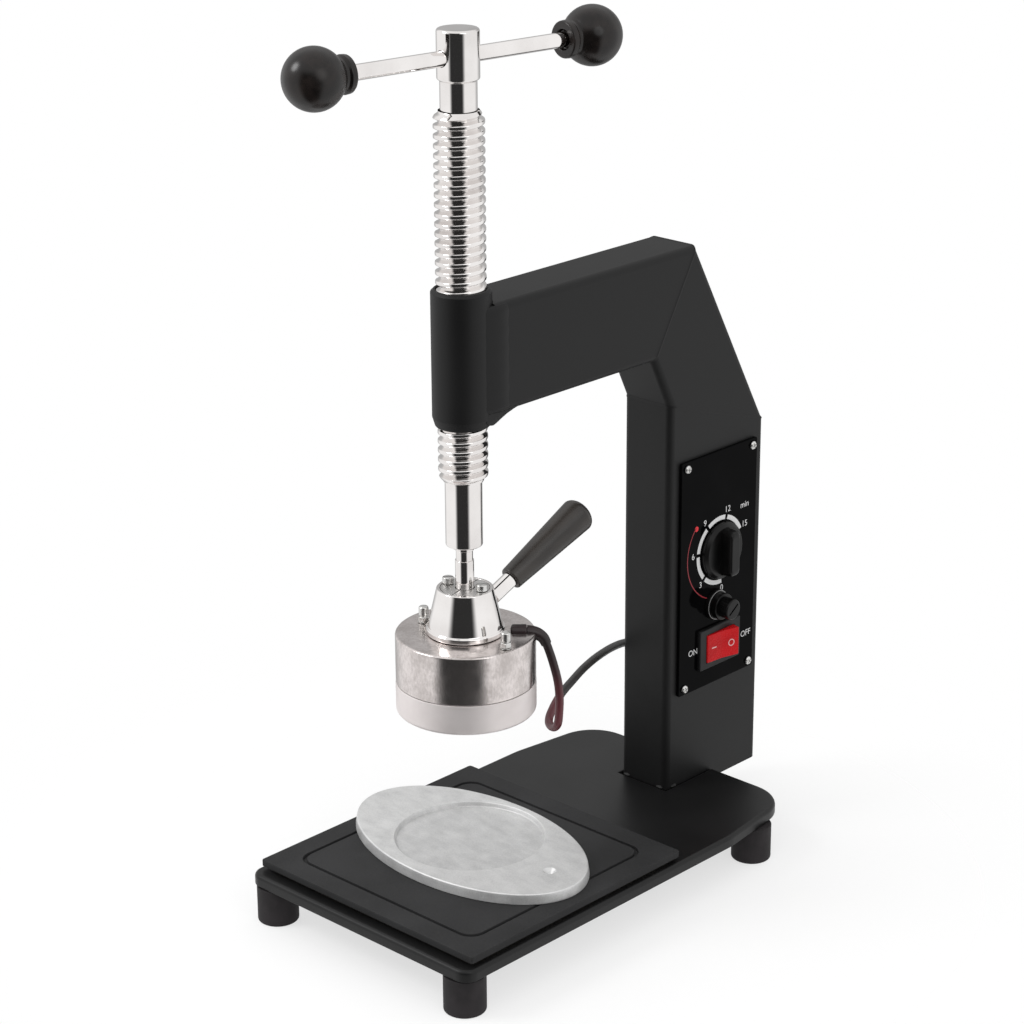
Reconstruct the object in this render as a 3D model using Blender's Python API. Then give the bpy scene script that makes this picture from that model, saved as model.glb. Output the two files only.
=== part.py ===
"""Bench tyre vulcanizer: a heated press head on a hand screw over a work plate.

Metres, +Z up, standing on z = 0. The platform end faces -Y, the column stands at +Y and
the control panel looks along +X. Pieces are placed from the screw's axis, which the
empty "machine" carries; the bounding box's bottom centre is the world origin.
"""
import math

import bmesh
import bpy
from mathutils import Matrix, Vector
from mathutils.geometry import interpolate_bezier

# Clearances and cuts
GAP = 0.0003
CUT_OVERRUN = 0.004
SHARP_ANGLE = math.radians(35)
BEVEL_STEPS = 2
CORNER_STEPS = 4
FINE_SIDES = 32
ROUND_SIDES = 20
SMALL_SIDES = 10

# Feet and their screws
FOOT_HEIGHT = 0.026
FOOT_RADIUS = 0.0136
FOOT_EDGE = 0.0012
FOOT_SOCKET_RADIUS = 0.0056
FOOT_FLOOR_THICKNESS = 0.010
FOOT_SIDE_INSET = 0.0140
FOOT_FRONT_INSET = 0.0125
FOOT_REAR_INSET = 0.0350
FOOT_SCREW_RADIUS = 0.0025
FOOT_SCREW_HEAD_RADIUS = 0.0045
FOOT_SCREW_HEAD_HEIGHT = 0.0030
FOOT_SCREW_GRIP_SHARE = 0.85

# Base plate
BASE_THICKNESS = 0.0080
BASE_WIDTH = 0.2000
BASE_FRONT_Y = -0.1040
BASE_REAR_Y = 0.2240
BASE_FRONT_CORNER = 0.0100
BASE_TAPER_LENGTH = 0.0735
BASE_TAPER = 0.0065
BASE_REAR_CORNER = 0.0320
BASE_EDGE_ROUND = 0.0030

# Work plate, its pad and screws
PAD_THICKNESS = 0.0019
PAD_INSET = 0.0050
WORK_WIDTH = 0.1930
WORK_DEPTH = 0.1960
WORK_THICKNESS = 0.0045
WORK_FRONT_INSET = 0.0085
WORK_CORNER = 0.0015
WORK_EDGE_ROUND = 0.0007
GROOVE_INSET = 0.0160
GROOVE_WIDTH = 0.0022
GROOVE_DEPTH = 0.0022
GROOVE_CORNER = 0.0110
WORK_SCREW_INSET_X = 0.0280
WORK_SCREW_INSET_Y = 0.0300
WORK_SCREW_RADIUS = 0.0025
WORK_SCREW_HEAD_RADIUS = 0.0046
WORK_SCREW_HEAD_HEIGHT = 0.0026
WORK_SCREW_BITE = 0.0028

# Frame: column, shoulder and arm are mitred box sections
FRAME_WIDTH = 0.0415
FRAME_WALL = 0.0030
FRAME_CORNER = 0.0050
COLUMN_FRONT_Y = 0.1748
COLUMN_DEPTH = 0.0994
COLUMN_INNER_TOP = 0.3130
COLUMN_TOP_FALL = 0.0310
SHOULDER_INNER_RISE = 0.0345
SHOULDER_INNER_RUN = 0.0168
SHOULDER_OUTER_RUN = 0.0750
ARM_HEIGHT = 0.0708
ARM_FRONT_SHARE = 0.55

# Threaded boss at the arm's end
BOSS_RADIUS = 0.0190
BOSS_BELOW_ARM = 0.0080
BOSS_ABOVE_ARM = 0.0087
BOSS_LOWER_CHAMFER_HEIGHT = 0.0060
BOSS_LOWER_CHAMFER_WIDTH = 0.0020
BOSS_UPPER_CHAMFER = 0.0018

# Press screw, from its head down
THREAD_RADIUS = 0.01575
THREAD_DEPTH = 0.0031
THREAD_PITCH = 0.0060
THREAD_CREST_SHARE = 0.46
THREAD_FLANK_SHARE = 0.27
THREAD_SIDES = 12
THREAD_LENGTH = 0.2340
NECK_RADIUS = 0.0114
NECK_LENGTH = 0.0190
HEAD_RADIUS = 0.0131
HEAD_HEIGHT = 0.0300
HEAD_CHAMFER = 0.0016
TIP_RADIUS = 0.0118
TIP_LENGTH = 0.0430
TIP_CHAMFER = 0.0012
STEM_RADIUS = 0.0060
STEM_GROOVE_RADIUS = 0.0054
STEM_LENGTH = 0.0326
STEM_SHOULDER = 0.0035
STEM_GROOVE_LENGTH = 0.0065
BUTTON_RADIUS = 0.0085
BUTTON_THICKNESS = 0.0126

# Tommy bar and its ball knobs
BAR_RADIUS = 0.0048
BAR_BALL_SPAN = 0.2078
BAR_TURN = math.radians(82.25)
BAR_DROP = 0.0020
BAR_END_DEPTH_SHARE = 0.35
BALL_RADIUS = 0.0190
BALL_COLLAR_RADIUS = 0.0118
BALL_COLLAR_REACH = 0.0235
BALL_COLLAR_LIP = 0.0010
BALL_RINGS = 9
BALL_POLE_ANGLE = math.radians(4)

# Cone cap that holds the screw's button
CONE_HEIGHT = 0.0272
CONE_TOP_RADIUS = 0.0181
CONE_FLANGE_THICKNESS = 0.0027
CONE_BOTTOM_RADIUS = 0.0245
CONE_FLANGE_RADIUS = 0.0253
CONE_EDGE = 0.0006
CONE_BORE_RADIUS = 0.0090
CONE_CHAMBER_DEPTH = 0.0187
CONE_SPIGOT_RADIUS = 0.0100
CONE_SPIGOT_LENGTH = 0.0115
RETAINER_RADIUS = 0.0160
RETAINER_THICKNESS = 0.0030
RETAINER_SPLIT = 0.0006
RETAINER_SCREW_REACH = 0.0126
RETAINER_SCREW_TURN = math.radians(12)
RETAINER_SCREW_RADIUS = 0.0015
RETAINER_SCREW_LENGTH = 0.0110
RETAINER_SCREW_HEAD_RADIUS = 0.0037
RETAINER_SCREW_HEAD_HEIGHT = 0.0042
THRUST_PAD_THICKNESS = 0.0017
CONE_NUT_RADIUS = 0.0150
CONE_NUT_HEIGHT = 0.0055

# Heating head
HEAD_SHELL_RADIUS = 0.0450
HEAD_SHELL_HEIGHT = 0.0324
HEAD_SHELL_TOP_WALL = 0.0040
HEAD_SHELL_SIDE_WALL = 0.0026
HEAD_SHELL_EDGE = 0.0016
HEATING_PLATE_RADIUS = 0.0452
HEATING_PLATE_HEIGHT = 0.1480
HEATING_PLATE_THICKNESS = 0.0203
HEATING_PLATE_EDGE = 0.0024
ELEMENT_RADIUS = 0.0270
ELEMENT_THICKNESS = 0.0034
INSULATION_RADIUS = 0.0415
INSULATION_THICKNESS = 0.0080
THERMOSTAT_RADIUS = 0.0075
THERMOSTAT_HEIGHT = 0.0060
THERMOSTAT_REACH = 0.0260
THERMOSTAT_TURN = math.radians(250)
CLAMP_RIGHT_REACH = 0.0385
CLAMP_RIGHT_TURN = math.radians(-4.5)
CLAMP_LEFT_REACH = 0.0310
CLAMP_LEFT_TURN = math.radians(194)
CLAMP_RADIUS = 0.0025
CLAMP_BITE = 0.0095
CLAMP_NUT_RADIUS = 0.0035
CLAMP_NUT_HEIGHT = 0.0040
CLAMP_NECK_HEIGHT = 0.0010
CLAMP_HEAD_HEIGHT = 0.0058
CLAMP_HEAD_RADIUS = 0.0032

# Side handle of the head
HANDLE_TURN = math.radians(85)
HANDLE_RISE = math.radians(26.6)
HANDLE_START_RISE = 0.0030
HANDLE_SOCKET_START = 0.0140
HANDLE_SOCKET_RADIUS = 0.0040
HANDLE_SHANK_START = 0.0256
HANDLE_SHANK_RADIUS = 0.0054
GRIP_START = 0.0430
GRIP_LENGTH = 0.0720
GRIP_START_RADIUS = 0.0078
GRIP_END_RADIUS = 0.0116
GRIP_START_EDGE = 0.0008
GRIP_ROUND_SHARE = 0.62
GRIP_DOME_STEPS = 4
GRIP_DOME_SWEEP = math.radians(82)
GRIP_BORE_LENGTH = 0.0380
GRIP_BORE_RADIUS = 0.0040

# Heater lead, its grommet and gland
LEAD_RADIUS = 0.00275
GROMMET_TURN = math.radians(43.6)
GROMMET_START = 0.0290
GROMMET_END = 0.0390
GROMMET_RADIUS = 0.0050
GROMMET_DROP = 0.0010
GROMMET_CORNER_SHARE = 0.7
LEAD_GLAND_SETBACK = 0.0432
LEAD_GLAND_RISE = 0.0878
GLAND_THREAD_RADIUS = 0.0058
GLAND_NUT_RADIUS = 0.0078
GLAND_NUT_LENGTH = 0.0055
GLAND_DOME_RADIUS = 0.0062
GLAND_DOME_END_RADIUS = 0.0052
GLAND_LENGTH = 0.0120
GLAND_INSIDE = 0.0060
MAINS_GLAND_RISE = 0.0360
MAINS_BORE_RADIUS = 0.0036
TERMINAL_WIDTH = 0.0300
TERMINAL_DEPTH = 0.0140
TERMINAL_HEIGHT = 0.0180
TERMINAL_RISE = 0.0600
TERMINAL_POST_RADIUS = 0.0032
TERMINAL_POST_HEIGHT = 0.0040
TERMINAL_POST_COUNT = 3

# Control panel and what it carries; u runs along +Y and v along +Z on it
PANEL_WIDTH = 0.0800
PANEL_HEIGHT = 0.1700
PANEL_THICKNESS = 0.0020
PANEL_CORNER = 0.0012
PANEL_RISE = 0.1600
PANEL_OPENING_WIDTH = 0.0540
PANEL_OPENING_HEIGHT = 0.1460
PANEL_SCREW_U = 0.0346
PANEL_SCREW_V = 0.0802
PANEL_SCREW_RADIUS = 0.0015
PANEL_SCREW_HEAD_RADIUS = 0.0029
PANEL_SCREW_HEAD_HEIGHT = 0.0018
PANEL_SCREW_LENGTH = 0.0070
TIMER_U = 0.0018
TIMER_V = 0.0125
TIMER_BODY_WIDTH = 0.0420
TIMER_BODY_HEIGHT = 0.0460
TIMER_BODY_DEPTH = 0.0220
TIMER_BODY_CORNER = 0.0040
TIMER_SHAFT_RADIUS = 0.0030
KNOB_RADIUS = 0.0203
KNOB_SKIRT_HEIGHT = 0.0045
KNOB_TOP_RADIUS = 0.0180
KNOB_BAR_WIDTH = 0.0105
KNOB_BAR_LENGTH = 0.0350
KNOB_HEIGHT = 0.0140
KNOB_BAR_TAPER_SHARE = 0.86
KNOB_SOCKET_DEPTH = 0.0078
KNOB_BAR_CORNER_SHARE = 0.33
FUSE_U = -0.0030
FUSE_V = -0.0260
FUSE_THREAD_RADIUS = 0.0072
FUSE_FLANGE_RADIUS = 0.0108
FUSE_FLANGE_THICKNESS = 0.0030
FUSE_NOSE_RADIUS = 0.0094
FUSE_NOSE_HEIGHT = 0.0085
FUSE_BODY_LENGTH = 0.0250
FUSE_BORE_RADIUS = 0.0056
FUSE_CAP_RADIUS = 0.0073
FUSE_CAP_TOP = 0.0168
FUSE_CAP_EDGE = 0.0010
FUSE_CAP_STEM_RADIUS = 0.0050
FUSE_CAP_STEM_LENGTH = 0.0050
FUSE_NUT_RADIUS = 0.0115
FUSE_NUT_THICKNESS = 0.0030
FUSE_LINK_RADIUS = 0.0026
FUSE_LINK_LENGTH = 0.0200
SWITCH_U = 0.0008
SWITCH_V = -0.0563
SWITCH_BEZEL_WIDTH = 0.0436
SWITCH_BEZEL_HEIGHT = 0.0300
SWITCH_BEZEL_THICKNESS = 0.0026
SWITCH_BEZEL_CORNER = 0.0010
SWITCH_BODY_WIDTH = 0.0380
SWITCH_BODY_HEIGHT = 0.0256
SWITCH_BODY_DEPTH = 0.0200
SWITCH_WELL_DEPTH = 0.0105
ROCKER_LENGTH = 0.0286
ROCKER_HEIGHT = 0.0205
ROCKER_PIVOT_DEPTH = 0.0010
ROCKER_END_RISE = 0.0044
ROCKER_MIDDLE_RISE = 0.0030
ROCKER_BELOW = 0.0050
ROCKER_KEEL_SHARE = 0.55
ROCKER_TILT = math.radians(10)

# Loose oval form plate on the work plate
FORM_LENGTH = 0.1920
FORM_WIDTH = 0.1160
FORM_THICKNESS = 0.0068
FORM_X = -0.0077
FORM_Y = 0.0099
FORM_TURN = math.radians(-4)
FORM_DRAFT = 0.0010
FORM_EDGE = 0.0012
FORM_RECESS_RADIUS = 0.0500
FORM_RECESS_DEPTH = 0.0032
FORM_RECESS_SHIFT = 0.0030
FORM_RECESS_SIDE_SHIFT = 0.0023
FORM_DIMPLE_REACH = 0.0700
FORM_DIMPLE_SIDE_REACH = 0.0060
FORM_DIMPLE_RADIUS = 0.0045
FORM_DIMPLE_DEPTH = 0.0030
FORM_SIDES = 48

# Heights and places that follow from the sizes above
BASE_TOP = FOOT_HEIGHT + BASE_THICKNESS
FOOT_X = BASE_WIDTH / 2 - FOOT_SIDE_INSET
FOOT_FRONT_Y = BASE_FRONT_Y + FOOT_FRONT_INSET
FOOT_REAR_Y = BASE_REAR_Y - FOOT_REAR_INSET
PAD_BOTTOM = BASE_TOP + GAP
WORK_BOTTOM = PAD_BOTTOM + PAD_THICKNESS + GAP
WORK_TOP = WORK_BOTTOM + WORK_THICKNESS
WORK_CENTRE_Y = BASE_FRONT_Y + WORK_FRONT_INSET + WORK_DEPTH / 2
COLUMN_REAR_Y = COLUMN_FRONT_Y + COLUMN_DEPTH
COLUMN_CENTRE_Y = COLUMN_FRONT_Y + COLUMN_DEPTH / 2
COLUMN_OUTER_TOP = COLUMN_INNER_TOP - COLUMN_TOP_FALL
FRAME_SIDE = FRAME_WIDTH / 2
ARM_UNDERSIDE = COLUMN_INNER_TOP + SHOULDER_INNER_RISE
ARM_TOP = ARM_UNDERSIDE + ARM_HEIGHT
ARM_INNER_Y = COLUMN_FRONT_Y - SHOULDER_INNER_RUN
ARM_OUTER_Y = COLUMN_REAR_Y - SHOULDER_OUTER_RUN
ARM_FRONT_Y = BOSS_RADIUS * ARM_FRONT_SHARE
BOSS_BOTTOM = ARM_UNDERSIDE - BOSS_BELOW_ARM
BOSS_TOP = ARM_TOP + BOSS_ABOVE_ARM
HEATING_PLATE_TOP = HEATING_PLATE_HEIGHT + HEATING_PLATE_THICKNESS
SHELL_BOTTOM = HEATING_PLATE_TOP + GAP
SHELL_TOP = SHELL_BOTTOM + HEAD_SHELL_HEIGHT
CONE_FLANGE_BOTTOM = SHELL_TOP + GAP
CONE_BOTTOM = CONE_FLANGE_BOTTOM + CONE_FLANGE_THICKNESS
CONE_TOP = CONE_BOTTOM + CONE_HEIGHT
CONE_BORE_FLOOR = CONE_TOP - CONE_CHAMBER_DEPTH
THRUST_PAD_BOTTOM = CONE_BORE_FLOOR + GAP
BUTTON_BOTTOM = THRUST_PAD_BOTTOM + THRUST_PAD_THICKNESS + GAP
BUTTON_TOP = BUTTON_BOTTOM + BUTTON_THICKNESS
TIP_BOTTOM = BUTTON_TOP + STEM_LENGTH
STEM_GROOVE_TOP = TIP_BOTTOM - STEM_SHOULDER
STEM_GROOVE_BOTTOM = STEM_GROOVE_TOP - STEM_GROOVE_LENGTH
THREAD_ROOT_RADIUS = THREAD_RADIUS - THREAD_DEPTH
THREAD_BOTTOM = TIP_BOTTOM + TIP_LENGTH
THREAD_TOP = THREAD_BOTTOM + THREAD_LENGTH
HEAD_BOTTOM = THREAD_TOP + NECK_LENGTH
HEAD_TOP = HEAD_BOTTOM + HEAD_HEIGHT
BAR_HEIGHT = (HEAD_BOTTOM + HEAD_TOP) / 2 - BAR_DROP
BAR_REACH = BAR_BALL_SPAN / 2
HANDLE_START_HEIGHT = CONE_BOTTOM + HANDLE_START_RISE
GROMMET_HEIGHT = SHELL_TOP - GROMMET_DROP
LEAD_GLAND_Y = COLUMN_FRONT_Y + LEAD_GLAND_SETBACK
LEAD_GLAND_Z = FOOT_HEIGHT + LEAD_GLAND_RISE
MAINS_GLAND_Z = FOOT_HEIGHT + MAINS_GLAND_RISE
TERMINAL_Z = FOOT_HEIGHT + TERMINAL_RISE
PANEL_CENTRE_Z = FOOT_HEIGHT + PANEL_RISE
FRONT_REACH = BAR_REACH * math.sin(BAR_TURN) + BALL_RADIUS
REAR_REACH = COLUMN_REAR_Y + GLAND_LENGTH
MACHINE_Y = (FRONT_REACH - REAR_REACH) / 2
FORM_REACH = math.hypot(FORM_LENGTH / 2 * math.cos(FORM_TURN),
                        FORM_WIDTH / 2 * math.sin(FORM_TURN))
MACHINE_X = (max(FORM_REACH - FORM_X, BASE_WIDTH / 2) - BASE_WIDTH / 2) / 2

# Route of the heater lead, from the grommet to the gland, from the screw's axis
LEAD_ROUTE = (
    (0.0329, 0.0313, 0.1990), (0.0357, 0.0340, 0.1961), (0.0371, 0.0353, 0.1925),
    (0.0387, 0.0368, 0.1865), (0.0408, 0.0388, 0.1766), (0.0426, 0.0406, 0.1654),
    (0.0434, 0.0413, 0.1540), (0.0432, 0.0411, 0.1440), (0.0414, 0.0418, 0.1352),
    (0.0373, 0.0434, 0.1308), (0.0327, 0.0452, 0.1292), (0.0280, 0.0480, 0.1293),
    (0.0242, 0.0524, 0.1309), (0.0212, 0.0585, 0.1334), (0.0171, 0.0675, 0.1358),
    (0.0120, 0.0790, 0.1370), (0.0050, 0.0945, 0.1366), (-0.0061, 0.1180, 0.1350),
    (-0.0175, 0.1435, 0.1318), (-0.0294, 0.1700, 0.1265), (-0.0390, 0.1900, 0.1208),
    (-0.0447, 0.2030, 0.1168), (-0.0457, 0.2085, 0.1154), (-0.0436, 0.2136, 0.1145),
    (-0.0394, 0.2170, 0.1140),
)
LEAD_STRAIGHT = 0.0015
LEAD_POINT_COUNT = 58
LEAD_CURVE_STEPS = 24


def remove_everything():
    for old in list(bpy.data.objects):
        bpy.data.objects.remove(old)


def paint(name, colour, roughness, metallic=0.0):
    made = bpy.data.materials.new(name)
    made.use_nodes = True
    shader = made.node_tree.nodes["Principled BSDF"]
    shader.inputs["Base Color"].default_value = (*colour, 1.0)
    shader.inputs["Roughness"].default_value = roughness
    shader.inputs["Metallic"].default_value = metallic
    return made


def make_empty(name, parent=None, location=(0, 0, 0), rotation=(0, 0, 0)):
    made = bpy.data.objects.new(name, None)
    bpy.context.scene.collection.objects.link(made)
    made.parent = parent
    made.location = location
    made.rotation_euler = rotation
    return made


def make_object(name, shape, material, parent=None, location=(0, 0, 0), rotation=(0, 0, 0)):
    """Turn a bmesh into a named object with its material, round faces shaded smooth."""
    mesh = bpy.data.meshes.new(name)
    shape.to_mesh(mesh)
    shape.free()
    if material:
        mesh.materials.append(material)
    mesh.shade_smooth()
    mesh.set_sharp_from_angle(angle=SHARP_ANGLE)
    made = bpy.data.objects.new(name, mesh)
    bpy.context.scene.collection.objects.link(made)
    made.parent = parent
    made.location = location
    made.rotation_euler = rotation
    return made


def skin(rings, closed=False):
    """Join rings of points with quads; the ends are capped unless the section is closed."""
    shape = bmesh.new()
    made = [[shape.verts.new(point) for point in ring] for ring in rings]
    pairs = list(zip(made, made[1:]))
    if closed:
        pairs.append((made[-1], made[0]))
    else:
        shape.faces.new(made[0])
        shape.faces.new(made[-1])
    for first, second in pairs:
        for i, corner in enumerate(first):
            j = (i + 1) % len(first)
            shape.faces.new((corner, first[j], second[j], second[i]))
    bmesh.ops.recalc_face_normals(shape, faces=shape.faces[:])
    return shape


def circle(radius, z, sides):
    step = 2 * math.pi / sides
    return [(radius * math.cos(i * step), radius * math.sin(i * step), z) for i in range(sides)]


def turned(profile, sides=ROUND_SIDES, closed=False):
    """A solid of revolution about Z from (radius, height) points."""
    return skin([circle(radius, z, sides) for radius, z in profile], closed)


def rounded_rectangle(width, depth, radius, steps=BEVEL_STEPS + 1):
    """Corner points, anticlockwise, of a rectangle about the origin with round corners."""
    points = []
    for corner in range(4):
        start = corner * math.pi / 2
        side_x = 1 if corner in (0, 3) else -1
        side_y = 1 if corner in (0, 1) else -1
        centre_x = side_x * (width / 2 - radius)
        centre_y = side_y * (depth / 2 - radius)
        for step in range(steps + 1):
            angle = start + step / steps * math.pi / 2
            points.append((centre_x + radius * math.cos(angle),
                           centre_y + radius * math.sin(angle)))
    return points


def flat_ring(outline, z):
    return [(x, y, z) for x, y in outline]


def prism(outline, low, high):
    return skin([flat_ring(outline, low), flat_ring(outline, high)])


def block(width, depth, low, high):
    half_x = width / 2
    half_y = depth / 2
    corners = ((half_x, half_y), (-half_x, half_y), (-half_x, -half_y), (half_x, -half_y))
    return prism(corners, low, high)


def moved(shape, offset):
    bmesh.ops.translate(shape, vec=Vector(offset), verts=shape.verts[:])
    return shape


def bevel_where(shape, test, width, steps=BEVEL_STEPS):
    edges = [edge for edge in shape.edges if test(edge)]
    bmesh.ops.bevel(shape, geom=edges, offset=width, segments=steps, profile=0.5, affect='EDGES')
    return shape


def rim_at(z, tolerance=GAP / 10):
    """A test for the outline edges that lie at one height."""
    def test(edge):
        level = all(abs(vert.co.z - z) < tolerance for vert in edge.verts)
        return level and any(abs(face.normal.z) < 0.5 for face in edge.link_faces)
    return test


def cut(target, name, shape, parent=None, location=(0, 0, 0), rotation=(0, 0, 0)):
    """Take a shape out of an object with an exact Boolean; the cutter is only a guide."""
    cutter = make_object(name, shape, None, parent, location, rotation)
    cutter.hide_render = True
    cutter.display_type = 'WIRE'
    modifier = target.modifiers.new(name, 'BOOLEAN')
    modifier.operation = 'DIFFERENCE'
    modifier.solver = 'EXACT'
    modifier.object = cutter
    return cutter


def drill(target, name, radius, low, high, parent, x=0, y=0, sides=SMALL_SIDES):
    """A straight hole along the parent's Z, from low to high."""
    return cut(target, name, turned(((radius, low), (radius, high)), sides), parent, (x, y, 0))


def screw_shape(shank_radius, head_radius, head_height, length, edge_share=0.3):
    """A pan-head screw along Z, head up, with the head's underside at z = 0."""
    edge = head_height * edge_share
    return turned(((head_radius - edge, head_height), (head_radius, head_height - edge),
                   (head_radius, 0), (shank_radius, 0), (shank_radius, -length)), SMALL_SIDES)


def base_outline():
    """Half of the base's outline, from the front edge round to the column's slot."""
    half = BASE_WIDTH / 2
    tapered = half - BASE_TAPER
    side = [(half - BASE_FRONT_CORNER * (1 - math.cos(angle)),
             BASE_FRONT_Y + BASE_FRONT_CORNER * (1 - math.sin(angle)))
            for angle in (math.pi / 2 * (1 - step / CORNER_STEPS)
                          for step in range(CORNER_STEPS + 1))]
    side.append((half, BASE_REAR_Y - BASE_TAPER_LENGTH))
    for step in range(2 * CORNER_STEPS + 1):
        angle = math.pi / 4 * step / CORNER_STEPS
        side.append((tapered - BASE_REAR_CORNER * (1 - math.cos(angle)),
                     BASE_REAR_Y - BASE_REAR_CORNER * (1 - math.sin(angle))))
    slot = FRAME_SIDE + GAP
    slot_front = COLUMN_FRONT_Y - GAP
    side.append((slot, BASE_REAR_Y))
    side.append((slot, slot_front))
    return side


def add_base(machine, looks):
    side = base_outline()
    outline = side + [(-x, y) for x, y in reversed(side)]
    shape = prism(outline, FOOT_HEIGHT, BASE_TOP)
    bevel_where(shape, rim_at(BASE_TOP), BASE_EDGE_ROUND)
    base = make_object("base_plate", shape, looks["paint"], machine)
    return base


def add_feet(machine, base, looks):
    seat_top = FOOT_HEIGHT - GAP
    bore = FOOT_SCREW_RADIUS + GAP
    socket_top = seat_top - FOOT_FLOOR_THICKNESS
    foot_profile = ((FOOT_RADIUS, seat_top), (FOOT_RADIUS, FOOT_EDGE),
                    (FOOT_RADIUS - FOOT_EDGE, 0), (FOOT_SOCKET_RADIUS, 0),
                    (FOOT_SOCKET_RADIUS, socket_top), (bore, socket_top), (bore, seat_top))
    head_seat = socket_top - GAP
    screw_length = FOOT_FLOOR_THICKNESS + BASE_THICKNESS * FOOT_SCREW_GRIP_SHARE
    corners = {"front_left": (-FOOT_X, FOOT_FRONT_Y), "front_right": (FOOT_X, FOOT_FRONT_Y),
               "rear_left": (-FOOT_X, FOOT_REAR_Y), "rear_right": (FOOT_X, FOOT_REAR_Y)}
    for corner, (x, y) in corners.items():
        make_object("foot_" + corner, turned(foot_profile, closed=True), looks["rubber"],
                    machine, (x, y, 0))
        screw = screw_shape(FOOT_SCREW_RADIUS, FOOT_SCREW_HEAD_RADIUS, FOOT_SCREW_HEAD_HEIGHT,
                            screw_length)
        make_object("foot_screw_" + corner, screw, looks["zinc"], machine,
                    (x, y, head_seat), (math.pi, 0, 0))
        drill(base, "cut_foot_" + corner, bore, -CUT_OVERRUN, BASE_TOP + CUT_OVERRUN,
              machine, x, y)


def add_work_plate(machine, base, looks):
    """The grooved plate that the tyre lies on, its heat pad and its four screws."""
    outline = rounded_rectangle(WORK_WIDTH, WORK_DEPTH, WORK_CORNER)
    shape = prism(outline, WORK_BOTTOM, WORK_TOP)
    bevel_where(shape, rim_at(WORK_TOP), WORK_EDGE_ROUND, 1)
    plate = make_object("work_plate", shape, looks["matt"], machine, (0, WORK_CENTRE_Y, 0))
    pad = make_object("work_plate_pad",
                      prism(rounded_rectangle(WORK_WIDTH - 2 * PAD_INSET,
                                              WORK_DEPTH - 2 * PAD_INSET, PAD_INSET / 2),
                            PAD_BOTTOM, PAD_BOTTOM + PAD_THICKNESS),
                      looks["fibre"], machine, (0, WORK_CENTRE_Y, 0))
    outer = rounded_rectangle(WORK_WIDTH - 2 * GROOVE_INSET, WORK_DEPTH - 2 * GROOVE_INSET,
                              GROOVE_CORNER)
    inner = rounded_rectangle(WORK_WIDTH - 2 * (GROOVE_INSET + GROOVE_WIDTH),
                              WORK_DEPTH - 2 * (GROOVE_INSET + GROOVE_WIDTH),
                              GROOVE_CORNER - GROOVE_WIDTH)
    floor = WORK_TOP - GROOVE_DEPTH
    above = WORK_TOP + CUT_OVERRUN
    groove = skin([flat_ring(outer, floor), flat_ring(outer, above),
                   flat_ring(inner, above), flat_ring(inner, floor)], closed=True)
    cut(plate, "cut_groove", groove, machine, (0, WORK_CENTRE_Y, 0))
    bore = WORK_SCREW_RADIUS + GAP
    tip = WORK_BOTTOM + WORK_SCREW_BITE
    head_seat = FOOT_HEIGHT - GAP
    screw_x = WORK_WIDTH / 2 - WORK_SCREW_INSET_X
    screw_y = WORK_DEPTH / 2 - WORK_SCREW_INSET_Y
    places = {"front_left": (-1, -1), "front_right": (1, -1),
              "rear_left": (-1, 1), "rear_right": (1, 1)}
    for corner, (side_x, side_y) in places.items():
        x = side_x * screw_x
        y = WORK_CENTRE_Y + side_y * screw_y
        screw = screw_shape(WORK_SCREW_RADIUS, WORK_SCREW_HEAD_RADIUS, WORK_SCREW_HEAD_HEIGHT,
                            tip - head_seat)
        make_object("work_plate_screw_" + corner, screw, looks["zinc"], machine,
                    (x, y, head_seat), (math.pi, 0, 0))
        drill(base, "cut_base_" + corner, bore, -CUT_OVERRUN, BASE_TOP + CUT_OVERRUN,
              machine, x, y)
        drill(pad, "cut_pad_" + corner, bore, 0, WORK_BOTTOM, machine, x, y)
        drill(plate, "cut_plate_" + corner, bore, 0, tip + GAP, machine, x, y)


def section(depth, wall_offset):
    """Points (x, share of the depth) of a box section, drawn in by a wall offset."""
    radius = max(FRAME_CORNER - wall_offset, FRAME_CORNER / 4)
    outline = rounded_rectangle(FRAME_WIDTH - 2 * wall_offset, depth - 2 * wall_offset, radius)
    return [(x, 0.5 + y / depth) for x, y in outline]


def mitre_ring(points, inner, outer):
    """Lay section points on a cut that runs from an inner to an outer (y, z) corner."""
    ring = []
    for x, share in points:
        ring.append((x, inner[0] + share * (outer[0] - inner[0]),
                     inner[1] + share * (outer[1] - inner[1])))
    return ring


def shortened(start, end, length):
    """The point a small length from start towards end, both (y, z)."""
    run = math.dist(start, end)
    share = length / run
    return (start[0] + share * (end[0] - start[0]), start[1] + share * (end[1] - start[1]))


def box_section(depth, start, end, closed_start=False):
    """A hollow box section between two cuts, each an (inner, outer) pair of (y, z) corners."""
    outside = section(depth, 0)
    inside = section(depth, FRAME_WALL)
    first = start
    if closed_start:
        first = [shortened(a, b, FRAME_WALL) for a, b in zip(start, end)]
    rings = [mitre_ring(outside, *start), mitre_ring(outside, *end),
             mitre_ring(inside, *end), mitre_ring(inside, *first)]
    return skin(rings, closed=not closed_start)


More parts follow.
